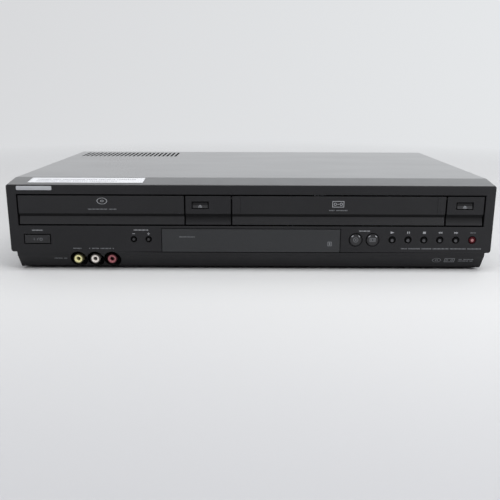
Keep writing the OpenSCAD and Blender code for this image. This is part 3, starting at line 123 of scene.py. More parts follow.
class Finish:
    """A material being built. Its patterns read Object coordinates, in metres, and their sizes, like
    the depth of a relief, are given in millimetres."""

    def __init__(self, name, colour, roughness, **fixed):
        """Starts from one colour, one roughness and the shader's other fixed values."""
        self.material = bpy.data.materials.new(name)
        self.material.use_nodes = True
        self.tree = self.material.node_tree
        self.shader = self.tree.nodes["Principled BSDF"]
        self.place = self.add("TexCoord", out="Object")
        names = {"metallic": "Metallic", "specular": "Specular IOR Level", "ior": "IOR",
                 "coat": "Coat Weight", "coat_roughness": "Coat Roughness", "coat_ior": "Coat IOR",
                 "subsurface": "Subsurface Weight"}
        sockets = {"Base Color": colour, "Roughness": roughness}
        sockets.update({names[key]: value for key, value in fixed.items()})
        for socket, value in sockets.items():
            self.shader.inputs[socket].default_value = value

    def add(self, kind, out=0, inputs=None, **settings):
        """Adds a node, fills its inputs with values or outputs, and gives one of its outputs."""
        node = self.tree.nodes.new("ShaderNode" + kind)
        for setting, value in settings.items():
            setattr(node, setting, value)
        for socket, value in (inputs or {}).items():
            if isinstance(value, bpy.types.NodeSocket):
                self.tree.links.new(value, node.inputs[socket])
            else:
                node.inputs[socket].default_value = value
        return node.outputs[out]

    def feed(self, socket, output):
        """Links an output to one of the shader's inputs."""
        self.tree.links.new(output, self.shader.inputs[socket])

    def tint(self, share, first, second):
        """Colours it from the first to the second as share goes from 0 to 1."""
        self.feed("Base Color", self.mixed(share, first, second))

    def rough(self, value, low, high, *span):
        """Lets the roughness go from low to high with a value."""
        self.feed("Roughness", self.spread(value, low, high, *span))

    def stretched(self, stretch):
        """The place, scaled by its own share along each axis."""
        return self.add("Mapping", inputs={"Vector": self.place, "Scale": stretch})

    def grain(self, size, detail=2.0, stretch=(1, 1, 1)):
        """Noise whose lumps are about this size."""
        return self.add("TexNoise", inputs={
            "Vector": self.stretched(stretch), "Scale": 1 / (size * MM), "Detail": detail})

    def cells(self, size, out="Distance"):
        """Cells about this size."""
        return self.add("TexVoronoi", out=out, inputs={"Vector": self.place, "Scale": 1 / (size * MM)})

    def picked(self, size):
        """A number of its own, from 0 to 1, for each cell of about this size."""
        return self.add("SeparateColor", out="Red", inputs={0: self.cells(size, out="Color")})

    def lines(self, pitch, direction, distortion=0.0):
        """Waves of this pitch across one axis."""
        return self.add("TexWave", out="Fac", bands_direction=direction, inputs={
            "Vector": self.place, "Scale": 0.314 / (pitch * MM), "Distortion": distortion})

    def spread(self, value, low=0, high=1, start=0.3, end=0.7):
        """The value from start to end, moved to the range from low to high."""
        return self.add("MapRange", inputs={"Value": value, "From Min": start, "From Max": end,
                                            "To Min": low, "To Max": high})

    def math(self, operation, first, *others):
        """One number worked out from the first and the others in turn."""
        for other in others:
            first = self.add("Math", operation=operation, inputs={0: first, 1: other})
        return first

    def length(self, vector):
        """The length of a vector."""
        return self.add("VectorMath", out="Value", operation="LENGTH", inputs={0: vector})

    def along(self, axis):
        """The coordinate along one axis."""
        return self.add("SeparateXYZ", out=axis, inputs={"Vector": self.place})

    def inside(self, axis, low, high):
        """1 where the coordinate lies between low and high, and 0 elsewhere."""
        value = self.along(axis)
        above, below = self.math("GREATER_THAN", value, low), self.math("LESS_THAN", value, high)
        return self.math("MULTIPLY", above, below)

    def bricks(self, pitch, mortar, width, height, place=None, smooth=0.3, **settings):
        """Lines between bricks of this pitch: 1 on a line. width and height are shares of the pitch."""
        return self.add("TexBrick", out="Fac", **settings, inputs={
            "Vector": place or self.place, "Scale": 1 / (pitch * MM), "Mortar Size": mortar,
            "Mortar Smooth": smooth, "Brick Width": width, "Row Height": height})

    def upright(self):
        """The place, turned so that a pattern on x and y lies on x and z."""
        return self.add("Mapping", inputs={"Vector": self.place, "Rotation": (math.pi / 2, 0, 0)})

    def mixed(self, share, first, second):
        """The first colour, going to the second as share goes from 0 to 1."""
        return self.add("Mix", out=2, data_type="RGBA", inputs={0: share, 6: first, 7: second})

    def clouded(self, noise, colour, dark, light):
        """Colours it, going with the noise from a darker share of the colour to a lighter one."""
        self.tint(self.spread(noise), shade(colour, dark), shade(colour, light))

    def relief(self, height, depth):
        """Raises the surface by up to depth where height is 1."""
        inputs = {"Height": height, "Distance": depth * MM}
        normal = self.shader.inputs["Normal"]
        if normal.is_linked:
            inputs["Normal"] = normal.links[0].from_socket
        self.feed("Normal", self.add("Bump", inputs=inputs))


def shade(colour, share):
    """The colour, darker or lighter by a share of itself."""
    return (*(min(1.0, part * share) for part in colour[:3]), 1.0)


def moulded(name, colour, roughness, texture=0.012, drift=0.1, painted_shade=None, shade_colour=None, **fixed):
    """Moulded plastic: a fine eroded texture, a slow flow in its sheen and a slight drift of tone.
    Where a function for painted shade is given, it gives the share, from 0 to 1, by which a place is painted
    in the darker shade tone, which is the colour's own dark where it isn't named, and its sheen drops."""
    made = Finish(name, colour, roughness, **fixed)
    slow, fine = made.grain(45, 3), made.grain(0.55, 4)
    toned = made.mixed(made.spread(slow), shade(colour, 1 - drift), shade(colour, 1 + drift))
    speck = made.spread(made.grain(0.9, 1), 0, 1, 0.55, 0.75)
    surface = made.mixed(made.math("MULTIPLY", speck, 0.35), toned, shade(colour, 1.5))
    made.rough(made.grain(7, 4), roughness - 0.05, roughness + 0.05)
    # painted shade: the colour goes to the shade tone, and the sheen drops, as the share rises
    if painted_shade:
        share = painted_shade(made)
        surface = made.mixed(share, surface, shade_colour or shade(colour, 0.12))
        made.feed("Specular IOR Level", made.spread(share, fixed["specular"], 0.03, 0, 1))
    made.feed("Base Color", surface)
    made.relief(slow, 0.05)
    made.relief(fine, texture)
    return made


def front_painted_shade(made):
    """Painted shade, rising with the depth behind the face and behind the leaning plinth: the gaps round the
    doors and caps, the wells and the jack pocket are painted dark inside. The plinth's last edge over the
    floor is painted dark as a shadow too, and the plinth is painted darker towards its foot."""
    below = made.math("MAXIMUM", made.math("SUBTRACT", PAINTED_SHADE_START, made.along("Z")), 0)
    surface = made.math("ADD", made.math("MULTIPLY", below, PAINTED_SHADE_LEAN), FACE_Y)
    behind = made.spread(made.math("SUBTRACT", made.along("Y"), surface), 0, 1, 0.5 * MM, 2.6 * MM)
    within = made.math("MULTIPLY", behind, made.inside("X", 2 * MM - HALF_W, HALF_W - 2 * MM),
                       made.inside("Z", FOOT_Z + 0.2 * MM, SLOPE_FRONT - MM))
    bays = made.math("MULTIPLY", crease_painted_shade(made), made.inside("X", -BAYS_HALF_W, BAYS_HALF_W))
    # painted shadow along the plinth's last edge, and painted shade growing down the plinth to its foot
    edge = made.inside("Z", 0, FOOT_Z + 0.9 * MM)
    foot = made.spread(made.along("Z"), 0.34, 0, FOOT_Z, FOLD_Z - 4 * MM)
    return made.math("MAXIMUM", within, edge, bays, foot)


def crease_painted_shade(made):
    """Painted shade on the crease's overhanging flank, which lies in shadow."""
    return made.math("MULTIPLY", made.inside("Z", CREASE[0] + 0.1 * MM, CREASE[1] - 0.5 * MM), 0.7)


def from_axis(made, nodes, drop=0.0):
    """The distance across the front from the nearest of the nodes' axes, or from points under them."""
    centres = [middle(node) for node in nodes]
    return made.math("MINIMUM", *(made.length(made.add("CombineXYZ", inputs={
        "X": made.math("SUBTRACT", made.along("X"), centre.x),
        "Y": made.math("SUBTRACT", made.along("Z"), centre.z - drop)})) for centre in centres))


def cap_rim(radius, *nodes, drop=0.0):
    """The rim of a round cap, outside this radius, lies in its well's shadow. The clear middle may lie
    a little under the axis, because the light comes from above."""
    return lambda made: made.spread(from_axis(made, nodes, drop), 0, 1, radius * 0.85, radius * 1.15)


def cap_border(width, *nodes):
    """The border of a rectangular cap, this wide, lies in its well's shadow."""
    def share(made):
        """0 inside the borders of the nodes' boxes, and 1 elsewhere."""
        clear = (made.math("MULTIPLY", made.inside("X", low.x + width, high.x - width),
                           made.inside("Z", low.z + width, high.z - width))
                 for low, high in map(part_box, nodes))
        return made.math("SUBTRACT", 1, made.math("MAXIMUM", *clear))
    return share


def eject_shadow(made):
    """An eject cap's border is painted dark as shade, and its upper half, which leans back into its well's
    shadow, is painted darker.
    """
    centre = middle("tape_eject_button")
    upper = made.math("MULTIPLY", made.inside("Z", centre.z + 0.1 * MM, 1.0), 0.62)
    border = cap_border(0.45 * MM, "disc_eject_button", "tape_eject_button")(made)
    return made.math("MAXIMUM", upper, border)


def jack_shadow(bore, rim, node):
    """A jack is painted dark as shade in its bore, and down its side outside the rim of its front ring."""
    def share(made):
        """1 in the bore, 0.85 outside the rim, and 0 between them."""
        away = from_axis(made, [node])
        return made.math("MAXIMUM", made.spread(away, 1, 0, bore * 0.92, bore * 1.08),
                         made.spread(away, 0, 0.85, rim * 0.97, rim * 1.03))
    return share


def painted_steel():
    """Baked satin paint on sheet steel: orange peel, a slow wave of the sheet and faint wipe marks."""
    colour = tone(62, 64, 68)
    made = Finish("cover_satin_paint", colour, 0.3, ior=1.95, coat=1.0, coat_roughness=0.28, coat_ior=1.75)
    wave, peel = made.grain(140, 2), made.grain(1.1, 3)
    made.clouded(wave, colour, 0.93, 1.07)
    made.rough(made.grain(30, 1.5, (0.4, 1, 1)), 0.28, 0.34)
    made.relief(wave, 0.12)
    made.relief(peel, 0.006)
    return made


def slope_plastic():
    """The moulding's sloping top, which keeps a satin sheen at a low angle."""
    colour = tone(50, 52, 55)
    made = Finish("front_slope_satin", colour, 0.36, ior=1.8, coat=0.8, coat_roughness=0.34, coat_ior=1.6)
    slow, fine = made.grain(60, 3), made.grain(0.6, 4)
    made.clouded(slow, colour, 0.94, 1.06)
    made.rough(made.grain(12, 4), 0.33, 0.4)
    made.relief(fine, 0.008)
    return made


def window_acrylic():
    """Smoked acrylic: smoother than the face, with hairlines from wiping along it."""
    colour = tone(42, 43, 45)
    made = Finish("window_smoked", colour, 0.42, specular=0.3)
    hair = made.grain(1.2, 3, (0.03, 1, 1))
    made.clouded(made.grain(60), colour, 0.95, 1.05)
    made.rough(hair, 0.38, 0.48, 0.35, 0.8)
    made.relief(made.grain(30, 2), 0.02)
    return made


def zinc_sheet():
    """Zinc-coated sheet: spangle, a rolled grain along x and small stains."""
    colour = tone(176, 180, 183)
    made = Finish("zinc_sheet", colour, 0.4, metallic=0.9)
    spangle = made.picked(5)
    rolled = made.grain(0.5, 3, (0.06, 1, 1))
    tint = made.mixed(spangle, shade(colour, 0.86), shade(colour, 1.08))
    stain = made.spread(made.grain(24, 5), 0, 0.35, 0.55, 0.8)
    made.tint(stain, tint, tone(140, 138, 130))
    made.feed("Roughness", made.math(
        "ADD", made.spread(spangle, 0.3, 0.45, 0, 1), made.spread(rolled, -0.04, 0.06)))
    made.relief(rolled, 0.01)
    return made


def turned(name, colour, roughness, direction, pitch):
    """Machined or plated metal: fine tool lines across one axis and a slight cloud in its tone."""
    made = Finish(name, colour, roughness, metallic=1.0)
    cut = made.lines(pitch, direction, 0.4)
    cloud = made.grain(6, 4)
    made.clouded(cloud, colour, 0.88, 1.05)
    made.rough(cloud, roughness - 0.05, roughness + 0.08)
    made.relief(cut, 0.006)
    return made


def blackened_screw():
    """Black oxide on a screw, worn to bare steel in small places."""
    colour = tone(40, 40, 42)
    made = Finish("screw_black_oxide", colour, 0.35, metallic=0.8)
    wear = made.spread(made.grain(1.4, 4), 0, 1, 0.52, 0.72)
    made.tint(wear, colour, tone(96, 94, 92))
    made.rough(wear, 0.42, 0.28, 0, 1)
    made.relief(made.grain(0.3, 3), 0.01)
    return made


def rubber(name, colour):
    """Moulded rubber with a dusty bloom."""
    made = Finish(name, colour, 0.78, specular=0.3)
    bloom = made.spread(made.grain(5, 5), 0, 0.6, 0.5, 0.8)
    made.tint(bloom, colour, shade(colour, 2.2))
    made.rough(made.grain(2, 3), 0.7, 0.88)
    made.relief(made.grain(0.35, 3), 0.02)
    return made


def laminate(name, mask, board, copper, node):
    """A circuit board: solder mask over tracks and pads, and its parts above it in black,
    grey and silver by their cells."""
    made = Finish(name, board, 0.38, specular=0.5)
    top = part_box(node)[0].z + 1.65 * MM
    tracks = made.bricks(5, 0.09, 0.9, 0.32)
    weave = made.spread(made.cells(0.6), 0, 0.3, 0, 1)
    ground = made.mixed(weave, made.mixed(tracks, mask, copper), board)
    silver = made.math("GREATER_THAN", made.picked(16), 0.72)
    housed = made.mixed(silver, tone(30, 30, 33), tone(150, 152, 156))
    made.tint(made.inside("Z", top, 1.0), ground, housed)
    made.rough(made.grain(3, 3), 0.32, 0.5)
    made.relief(tracks, 0.03)
    return made


def standing_laminate(name, mask, copper):
    """The control board stands upright: its tracks run in x and z."""
    made = Finish(name, mask, 0.4)
    tracks = made.bricks(4, 0.08, 1.1, 0.3, made.upright())
    made.tint(tracks, mask, copper)
    made.rough(made.grain(2, 3), 0.34, 0.5)
    made.relief(tracks, 0.03)
    return made


def winding():
    """A transformer: laminated core ends, and yellow tape over the turns between them."""
    made = Finish("transformer_winding", tone(190, 150, 50), 0.45)
    low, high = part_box("transformer")
    turns = made.lines(0.8, "Z", 0.3)
    tape = made.mixed(turns, tone(196, 160, 60), tone(150, 112, 36))
    core = made.mixed(made.lines(0.5, "X"), tone(52, 50, 48), tone(92, 88, 84))
    wound = made.inside("Z", low.z + 5.1 * MM, high.z - 5.1 * MM)
    made.tint(wound, core, tape)
    made.relief(turns, 0.06)
    return made


def display_glass():
    """A vacuum display: dark glass with a fine mesh and pale unlit digits behind it."""
    made = Finish("display_glass", tone(24, 34, 34), 0.12, coat=0.6, coat_roughness=0.05)
    mesh = made.lines(0.5, "X")
    digits = made.bricks(9, 0.05, 0.6, 0.55, made.upright(), 0.1, offset=0.0)
    ground = made.mixed(mesh, tone(20, 30, 30), tone(34, 46, 46))
    made.tint(digits, ground, tone(90, 118, 112))
    return made


def ring_colours():
    """The insulators of the rear jacks: a colour for each column, in two rows."""
    made = Finish("jack_ring_colours", tone(200, 200, 200), 0.42)
    low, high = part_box("rear_jack_rings")
    across = made.spread(made.along("X"), 0, 1, low.x, high.x)
    rows = []
    tints = {"green": tone(46, 138, 62), "blue": tone(44, 82, 178), "red": tone(186, 44, 40),
             "yellow": tone(226, 196, 52), "white": tone(232, 230, 224), "orange": tone(224, 122, 36)}
    reach, outer = high.x - low.x, (high.z - low.z - REAR_JACK_PITCH) / 2
    first, second = outer + REAR_JACK_PITCH * 0.5, outer + REAR_JACK_PITCH * 1.5
    stops = (0, first / reach, second / reach, 0.5, 1 - second / reach, 1 - first / reach)
    for row in (("orange", "white", "red", "yellow", "white", "red"),
                ("green", "blue", "red", "yellow", "white", "red")):
        output = made.add("ValToRGB", inputs={"Fac": across})
        ramp = output.node.color_ramp
        ramp.interpolation = "CONSTANT"
        for index, (stop, tint) in enumerate(zip(stops, row)):
            element = ramp.elements[index] if index < 2 else ramp.elements.new(stop)
            element.position, element.color = stop, tints[tint]
        rows.append(output)
    upper = made.inside("Z", (low.z + high.z) / 2, 1.0)
    made.tint(upper, *rows)
    made.rough(made.grain(2), 0.36, 0.5)
    made.relief(made.grain(0.5), 0.01)
    return made


def ink(name, colour):
    """Screen-printed ink, thin in places."""
    made = Finish(name, colour, 0.55)
    thin = made.spread(made.grain(0.35, 3), 0, 0.5, 0.55, 0.75)
    made.tint(thin, colour, shade(colour, 0.6))
    made.rough(made.grain(0.6), 0.5, 0.62)
    made.relief(thin, 0.004)
    return made


def label_paper():
    """Coated white label stock with faint fibres, and a slow cloud of a little grey."""
    colour = tone(236, 238, 242)
    made = Finish("label_stock", colour, 0.5)
    fibre, cloud = made.grain(0.8, 5, (0.4, 1, 1)), made.grain(22, 3)
    ground = made.mixed(made.spread(cloud), colour, shade(colour, 0.93))
    made.tint(made.spread(fibre, 0, 0.3), ground, tone(214, 218, 224))
    made.rough(cloud, 0.45, 0.58)
    made.relief(cloud, 0.03)
    made.relief(fibre, 0.004)
    return made


def satin_badge():
    """Satin aluminium, brushed along x."""
    colour = tone(188, 190, 194)
    made = Finish("badge_aluminium", colour, 0.34, metallic=0.85)
    brushed = made.grain(0.16, 4, (0.02, 1, 1))
    made.clouded(brushed, colour, 0.84, 1.06)
    made.rough(brushed, 0.28, 0.42)
    made.relief(brushed, 0.003)
    return made


# the front, the doors and the caps are painted darker where shade falls in their gaps, wells, crease and
# borders
FRONT = moulded("front_black", tone(31, 31, 33), 0.5, painted_shade=front_painted_shade, specular=0.2)
SLOPE = slope_plastic()
DOOR = moulded("door_black", tone(28, 28, 30), 0.48, painted_shade=crease_painted_shade, specular=0.25)
KEYS = [name + "_button" for name in ("play", "pause", "stop", "rewind", "forward")]
TRACKING = ["tracking_down_button", "tracking_up_button"]
SELECTORS = ["select_disc_button", "select_tape_button"]


def cap(name, grey, roughness, painted_shade, shade_colour):
    """A moulded cap of one grey, or of a colour, and its border painted dark as shade."""
    return moulded(name, grey, roughness, 0.006, painted_shade=painted_shade, shade_colour=shade_colour, specular=0.3)


POWER = cap("power_cap_black", tone(35, 35, 37), 0.42, cap_border(0.85 * MM, "power_button"), tone(9, 9, 10))
EJECT = cap("eject_cap_black", tone(40, 40, 42), 0.42, eject_shadow, tone(10, 10, 11))
SELECT = cap("select_cap_black", tone(40, 40, 42), 0.42, cap_rim(5.1 * MM, *SELECTORS), tone(8, 8, 9))
KEY = cap("key_grey", tone(66, 66, 69), 0.36, cap_rim(1.4 * MM, *KEYS, drop=0.45 * MM), tone(15, 15, 16))
TRACK = cap("tracking_grey", tone(50, 50, 52), 0.4, cap_rim(1.15 * MM, *TRACKING), tone(12, 12, 13))
RECORD = cap("record_pink", tone(160, 110, 112), 0.4, cap_rim(1.35 * MM, "record_button"), tone(64, 20, 25))
WINDOW = window_acrylic()
COVER = painted_steel()
ZINC = zinc_sheet()
NICKEL = turned("nickel_plate", tone(206, 203, 196), 0.24, "Y", 0.4)
MACHINED = turned("machined_alloy", tone(196, 198, 202), 0.3, "Z", 0.5)
STEEL = turned("bright_steel", tone(186, 188, 192), 0.22, "Z", 0.3)
HEAD = turned("head_metal", tone(166, 152, 118), 0.3, "X", 0.4)
PICKUP = turned("pickup_alloy", tone(112, 118, 126), 0.36, "X", 0.6)
DECK = moulded("deck_black", tone(36, 37, 40), 0.5, specular=0.35)
NYLON = moulded("gear_nylon", tone(226, 222, 208), 0.42, drift=0.04, subsurface=0.08)
BLACK = moulded("connector_black", tone(28, 28, 30), 0.42, specular=0.4)
# each jack's last tone paints the shade in its bore and down its side
FRONT_JACKS = {
    colour: moulded(name, ring_tone, 0.4, 0.004, drift,
                    jack_shadow(1.7 * MM, rim, "front_jack_" + colour), jack_shade_tone, specular=0.4)
    for colour, name, ring_tone, drift, rim, jack_shade_tone in (
        ("yellow", "jack_cream_yellow", tone(222, 216, 162), 0.04, 3.38 * MM, tone(8, 8, 6)),
        ("white", "jack_white", tone(222, 216, 210), 0.03, 3.3 * MM, tone(8, 8, 8)),
        ("red", "jack_dark_red", tone(146, 84, 90), 0.06, 3.5 * MM, tone(26, 4, 8)))}
SCREW = blackened_screw()
FOOT = rubber("foot_rubber", tone(24, 24, 25))
ROLLER = rubber("roller_rubber", tone(34, 34, 35))
INK = ink("ink_pale", tone(150, 152, 156))
INK_DIM = ink("ink_dim", tone(108, 110, 114))
# pale grey ink for the label's lines, which also paints the highlights on the select caps' rims
LABEL_INK_AND_HIGHLIGHT = ink("ink_label_and_highlight_grey", tone(178, 180, 186))
LABEL = label_paper()
BADGE = satin_badge()
MAIN_BOARD = laminate("main_laminate", tone(30, 78, 44), tone(44, 92, 56), tone(70, 120, 66), "main_board")
POWER_BOARD = laminate("power_laminate", tone(168, 132, 80), tone(176, 142, 92), tone(120, 92, 56),
                       "power_board")
FRONT_BOARD = standing_laminate("front_laminate", tone(38, 86, 48), tone(78, 122, 70))
WINDING = winding()
GLASS = display_glass()
RINGS = ring_colours()


# ---- pieces ----


def piece(name, mesh, body, finish):
    """Puts a finished mesh into the scene on its body, in its finish."""
    made = bpy.data.objects.new(name, mesh)
    bpy.context.scene.collection.objects.link(made)
    mesh.materials.append(finish.material)
    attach(made, body)
    return made


def dress(finish, *nodes):
    """Gives the frame's nodes a finish."""
    for node in nodes:
        if not cad[node].material_slots:
            cad[node].data.materials.append(finish.material)
        for held in cad[node].material_slots:
            held.material = finish.material


def whole(node):
    """A copy of a node's mesh with its triangles merged and its flat faces made whole."""
    shape = bmesh.new()
    shape.from_mesh(cad[node].data)
    bmesh.ops.remove_doubles(shape, verts=shape.verts, dist=0.6e-6)
    bmesh.ops.dissolve_limit(shape, angle_limit=0.006, verts=shape.verts, edges=shape.edges)
    mesh = bpy.data.meshes.new(node + "_softened")
    shape.to_mesh(mesh)
    shape.free()
    return mesh


def convex(mesh):
    """Cuts the faces that bend inwards, or that go round a hole, into convex ones."""
    shape = bmesh.new()
    shape.from_mesh(mesh)
    bmesh.ops.connect_verts_concave(shape, faces=shape.faces)
    shape.to_mesh(mesh)
    shape.free()


def read(items, field, width=1, kind=float):
    """One field of a mesh's vertices, edges, loops or faces, as an array."""
    values = np.empty(len(items) * width, kind)
    items.foreach_get(field, values)
    return values.reshape(-1, width) if width > 1 else values


def soften_edges(mesh, width, sharp=25):
    """Weighs each edge for the round: 1 where the two faces turn by more than sharp degrees and are
    wide enough for it, less where one of them is narrow, and 0 elsewhere."""
    edges, faces = len(mesh.edges), len(mesh.polygons)
    loop_edge = read(mesh.loops, "edge_index", kind=int)
    start, size = (read(mesh.polygons, field, kind=int) for field in ("loop_start", "loop_total"))
    area, normal = read(mesh.polygons, "area"), read(mesh.polygons, "normal", 3)
    ends, place = read(mesh.edges, "vertices", 2, int), read(mesh.vertices, "co", 3)
    face = np.repeat(np.arange(faces), size)[np.argsort(np.repeat(start, size), kind="stable")]
    length = np.maximum(np.linalg.norm(place[ends[:, 0]] - place[ends[:, 1]], axis=1), 1e-7)
    room = np.full(edges, 1.0)
    np.minimum.at(room, loop_edge, area[face] / length[loop_edge])
    total = np.zeros((edges, 3))
    np.add.at(total, loop_edge, normal[face])
    turn = np.degrees(2 * np.arccos(np.clip(np.linalg.norm(total, axis=1) / 2, 0, 1)))
    weight = np.where(turn > sharp, np.clip(0.42 * room / width, 0, 1), 0)
    layer = mesh.attributes.new("bevel_weight_edge", "FLOAT", "EDGE")
    layer.data.foreach_set("value", weight.astype(np.float32))
    hard = mesh.attributes.new("sharp_edge", "BOOLEAN", "EDGE")
    hard.data.foreach_set("value", turn > sharp)
    mesh.polygons.foreach_set("use_smooth", np.ones(faces, bool))


def modifier(made, name, kind, **settings):
    """Adds a modifier with its settings."""
    added = made.modifiers.new(name, kind)
    for setting, value in settings.items():
        setattr(added, setting, value)


def softened(node, finish, width, steps=2):
    """The node's own shape with a small round, this wide, on its sharp edges, which stands for the node."""
    mesh = whole(node)
    soften_edges(mesh, width)
    convex(mesh)
    made = piece(node + "_soft", mesh, body_of(cad[node])[0], finish)
    modifier(made, "edge_round", "BEVEL", limit_method="WEIGHT", width=width, segments=steps,
             use_clamp_overlap=False, loop_slide=False)
    modifier(made, "face_normals", "WEIGHTED_NORMAL", mode="FACE_AREA", weight=100)
    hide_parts(node)
    return made


def face_finish(made, finish, chosen):
    """A second finish on the chosen faces: chosen takes the faces' middles and normals."""
    faces = made.data.polygons
    made.data.materials.append(finish.material)
    index = read(faces, "material_index", kind=np.int32)
    index[chosen(read(faces, "center", 3), read(faces, "normal", 3))] = len(made.data.materials) - 1
    faces.foreach_set("material_index", index)


def grid_mesh(name, points, wrap=False):
    """A mesh over a grid of points: rows by columns by 3. wrap joins the last column to the first."""
    rows, columns = points.shape[:2]
    number = np.arange(rows * columns).reshape(rows, columns)
    if wrap:
        number = np.concatenate([number, number[:, :1]], axis=1)
    quads = np.stack([number[:-1, :-1], number[:-1, 1:], number[1:, 1:], number[1:, :-1]], axis=-1)
    mesh = bpy.data.meshes.new(name)
    mesh.from_pydata(points.reshape(-1, 3).tolist(), [], quads.reshape(-1, 4).tolist())
    closed = bmesh.new()
    closed.from_mesh(mesh)
    bmesh.ops.remove_doubles(closed, verts=closed.verts, dist=1e-6)
    bmesh.ops.recalc_face_normals(closed, faces=closed.faces)
    closed.to_mesh(mesh)
    closed.free()
    mesh.polygons.foreach_set("use_smooth", np.ones(len(mesh.polygons), bool))
    return mesh


def joined(name, meshes):
    """One mesh out of several."""
    shape = bmesh.new()
    for mesh in meshes:
        shape.from_mesh(mesh)
        bpy.data.meshes.remove(mesh)
    made = bpy.data.meshes.new(name)
    shape.to_mesh(made)
    shape.free()
    return made


# ---- the outside: the nodes' own shapes with rounded edges ----

bezel = softened("front_bezel", FRONT, 0.35 * MM)
face_finish(bezel, SLOPE, lambda middles, normals: (normals[:, 2] > 0.6)
            & (middles[:, 2] > SLOPE_FRONT - 0.6 * MM))
for finish, slot, width, nodes in (
        (DOOR, "front_plastic", 0.3, ["disc_door", "cassette_door"]),
        (WINDOW, "window_plastic", 0.2, ["display_window"]),
        (COVER, "cover_paint", 0.3, ["top_cover"]),
        (KEY, "button_plastic", 0.22, KEYS),
        (TRACK, "button_plastic", 0.2, TRACKING),
        (POWER, "button_plastic", 0.25, ["power_button"]),
        (EJECT, "button_plastic", 0.25, ["disc_eject_button", "tape_eject_button"]),
        (SELECT, "button_plastic", 0.25, SELECTORS),
        (RECORD, "record_plastic", 0.22, ["record_button"])):
    for node in nodes:
        softened(node, finish, width * MM)
for colour, finish in FRONT_JACKS.items():
    softened("front_jack_" + colour, finish, 0.25 * MM)
softened("feet", FOOT, 0.8 * MM, 3)
softened("rear_jack_block", BLACK, 0.4 * MM)
softened("rear_jack_barrels", NICKEL, 0.3 * MM)
softened("rear_jack_rings", RINGS, 0.2 * MM)
softened("mains_inlet", BLACK, 0.5 * MM, 3)

# the cassette cradle is black deck plastic, a colour that also stands in for the shade inside the gap round
# the cassette door
for finish, nodes in (
        (ZINC, "chassis_base rear_panel clamp_bridge tape_deck_frame cradle_carriage tuner_can tray_motor"),
        (DECK, "disc_deck_frame disc_tray turntable lift_frame cassette_cradle"),
        (NYLON, "tray_gear motor_pinion clamp_puck supply_reel takeup_reel"),
        (MACHINED, "drum_base head_drum"), (STEEL, "capstan supply_guide takeup_guide pinch_arm"),
        (PICKUP, "pickup"), (ROLLER, "pinch_roller"), (HEAD, "tape_heads"), (BLACK, "front_jack_block"),
        (MAIN_BOARD, "main_board"), (POWER_BOARD, "power_board"), (FRONT_BOARD, "front_board"),
        (WINDING, "transformer"), (GLASS, "display_module")):
    dress(finish, *nodes.split())


# ---- turned parts: threaded sockets and screws ----


def round_part(name, along, radius, place):
    """A part about an axis: along and radius give, for each row and each step round, the distance along
    the axis and from it. place turns along, across and up into points."""
    turn = np.arange(radius.shape[1]) * 2 * np.pi / radius.shape[1]
    points = place(along + 0 * radius, radius * np.cos(turn), radius * np.sin(turn))
    return grid_mesh(name, np.stack(points, axis=-1), wrap=True)


def flat_rows(steps, *rows):
    """Rows with one distance and one radius all the way round, in millimetres."""
    along, radius = np.array(rows).T[..., None] * MM
    return along + np.zeros(steps), radius + np.zeros(steps)


def threaded(radius, start, end, steps=48, pitch=0.9, depth=0.28):
    """A screw thread: along the axis the radius falls and rises by depth once every pitch, and the
    pattern moves on by one pitch in a turn."""
    along = np.arange(start, end, pitch / 8)[:, None] + np.zeros(steps)
    phase = (along / pitch - np.arange(steps) / steps) % 1
    return along * MM, (radius - depth * np.abs(2 * phase - 1)) * MM


def aerial_socket(x, low, high):
    """An F socket from the back of the panel to its open end: flange, thread, mouth and bore."""
    length = (high.y - low.y) / MM
    radius = ((high.z - low.z) / 2) / MM - 1
    proud, collar, bore = 9.4, 1.6, 1.1
    flange = length - proud + collar
    parts = [flat_rows(48, (0, 0), (0, radius + 1), (flange, radius + 1), (flange, radius)),
             threaded(radius, flange + 0.2, length - 0.5),
             flat_rows(48, (length - 0.3, radius - 0.3), (length, radius - 0.5), (length, radius - 1.5),
                       (length - 0.3, radius - 1.6), (length - 1.2, radius - 1.6), (length - 1.2, bore),
                       (length - 5, bore), (length - 5, 0))]
    along, radii = (np.concatenate(rows) for rows in zip(*parts))
    centre_z = (low.z + high.z) / 2
    return round_part("aerial_socket", along, radii, lambda a, u, v: (x + u, low.y + a, centre_z + v))


def cross_head(radius, proud, length, steps=64, shank=1.45):
    """A pan head with a cross recess, and its shank. The dome's height is proud times the root of
    1 - share^4; the recess is as deep as its two slots are near, and it fades at their ends."""
    share = np.linspace(0, 1, 26)[:, None]
    turn = np.arange(steps) * 2 * np.pi / steps
    across, up = np.abs(share * radius * np.cos(turn)), np.abs(share * radius * np.sin(turn))
    slot = np.clip(1 - (np.minimum(across, up) - 0.3) / 0.25, 0, 1)
    slot = slot * np.clip((0.62 * radius - np.maximum(across, up)) / 0.45, 0, 1)
    height = proud * np.sqrt(1 - share ** 4) - 0.8 * proud * slot
    reach = share * radius * MM + 0 * height
    under = flat_rows(steps, (0, shank), (-length, shank), (-length, 0))
    return np.concatenate([height * MM, under[0]]), np.concatenate([reach, under[1]])


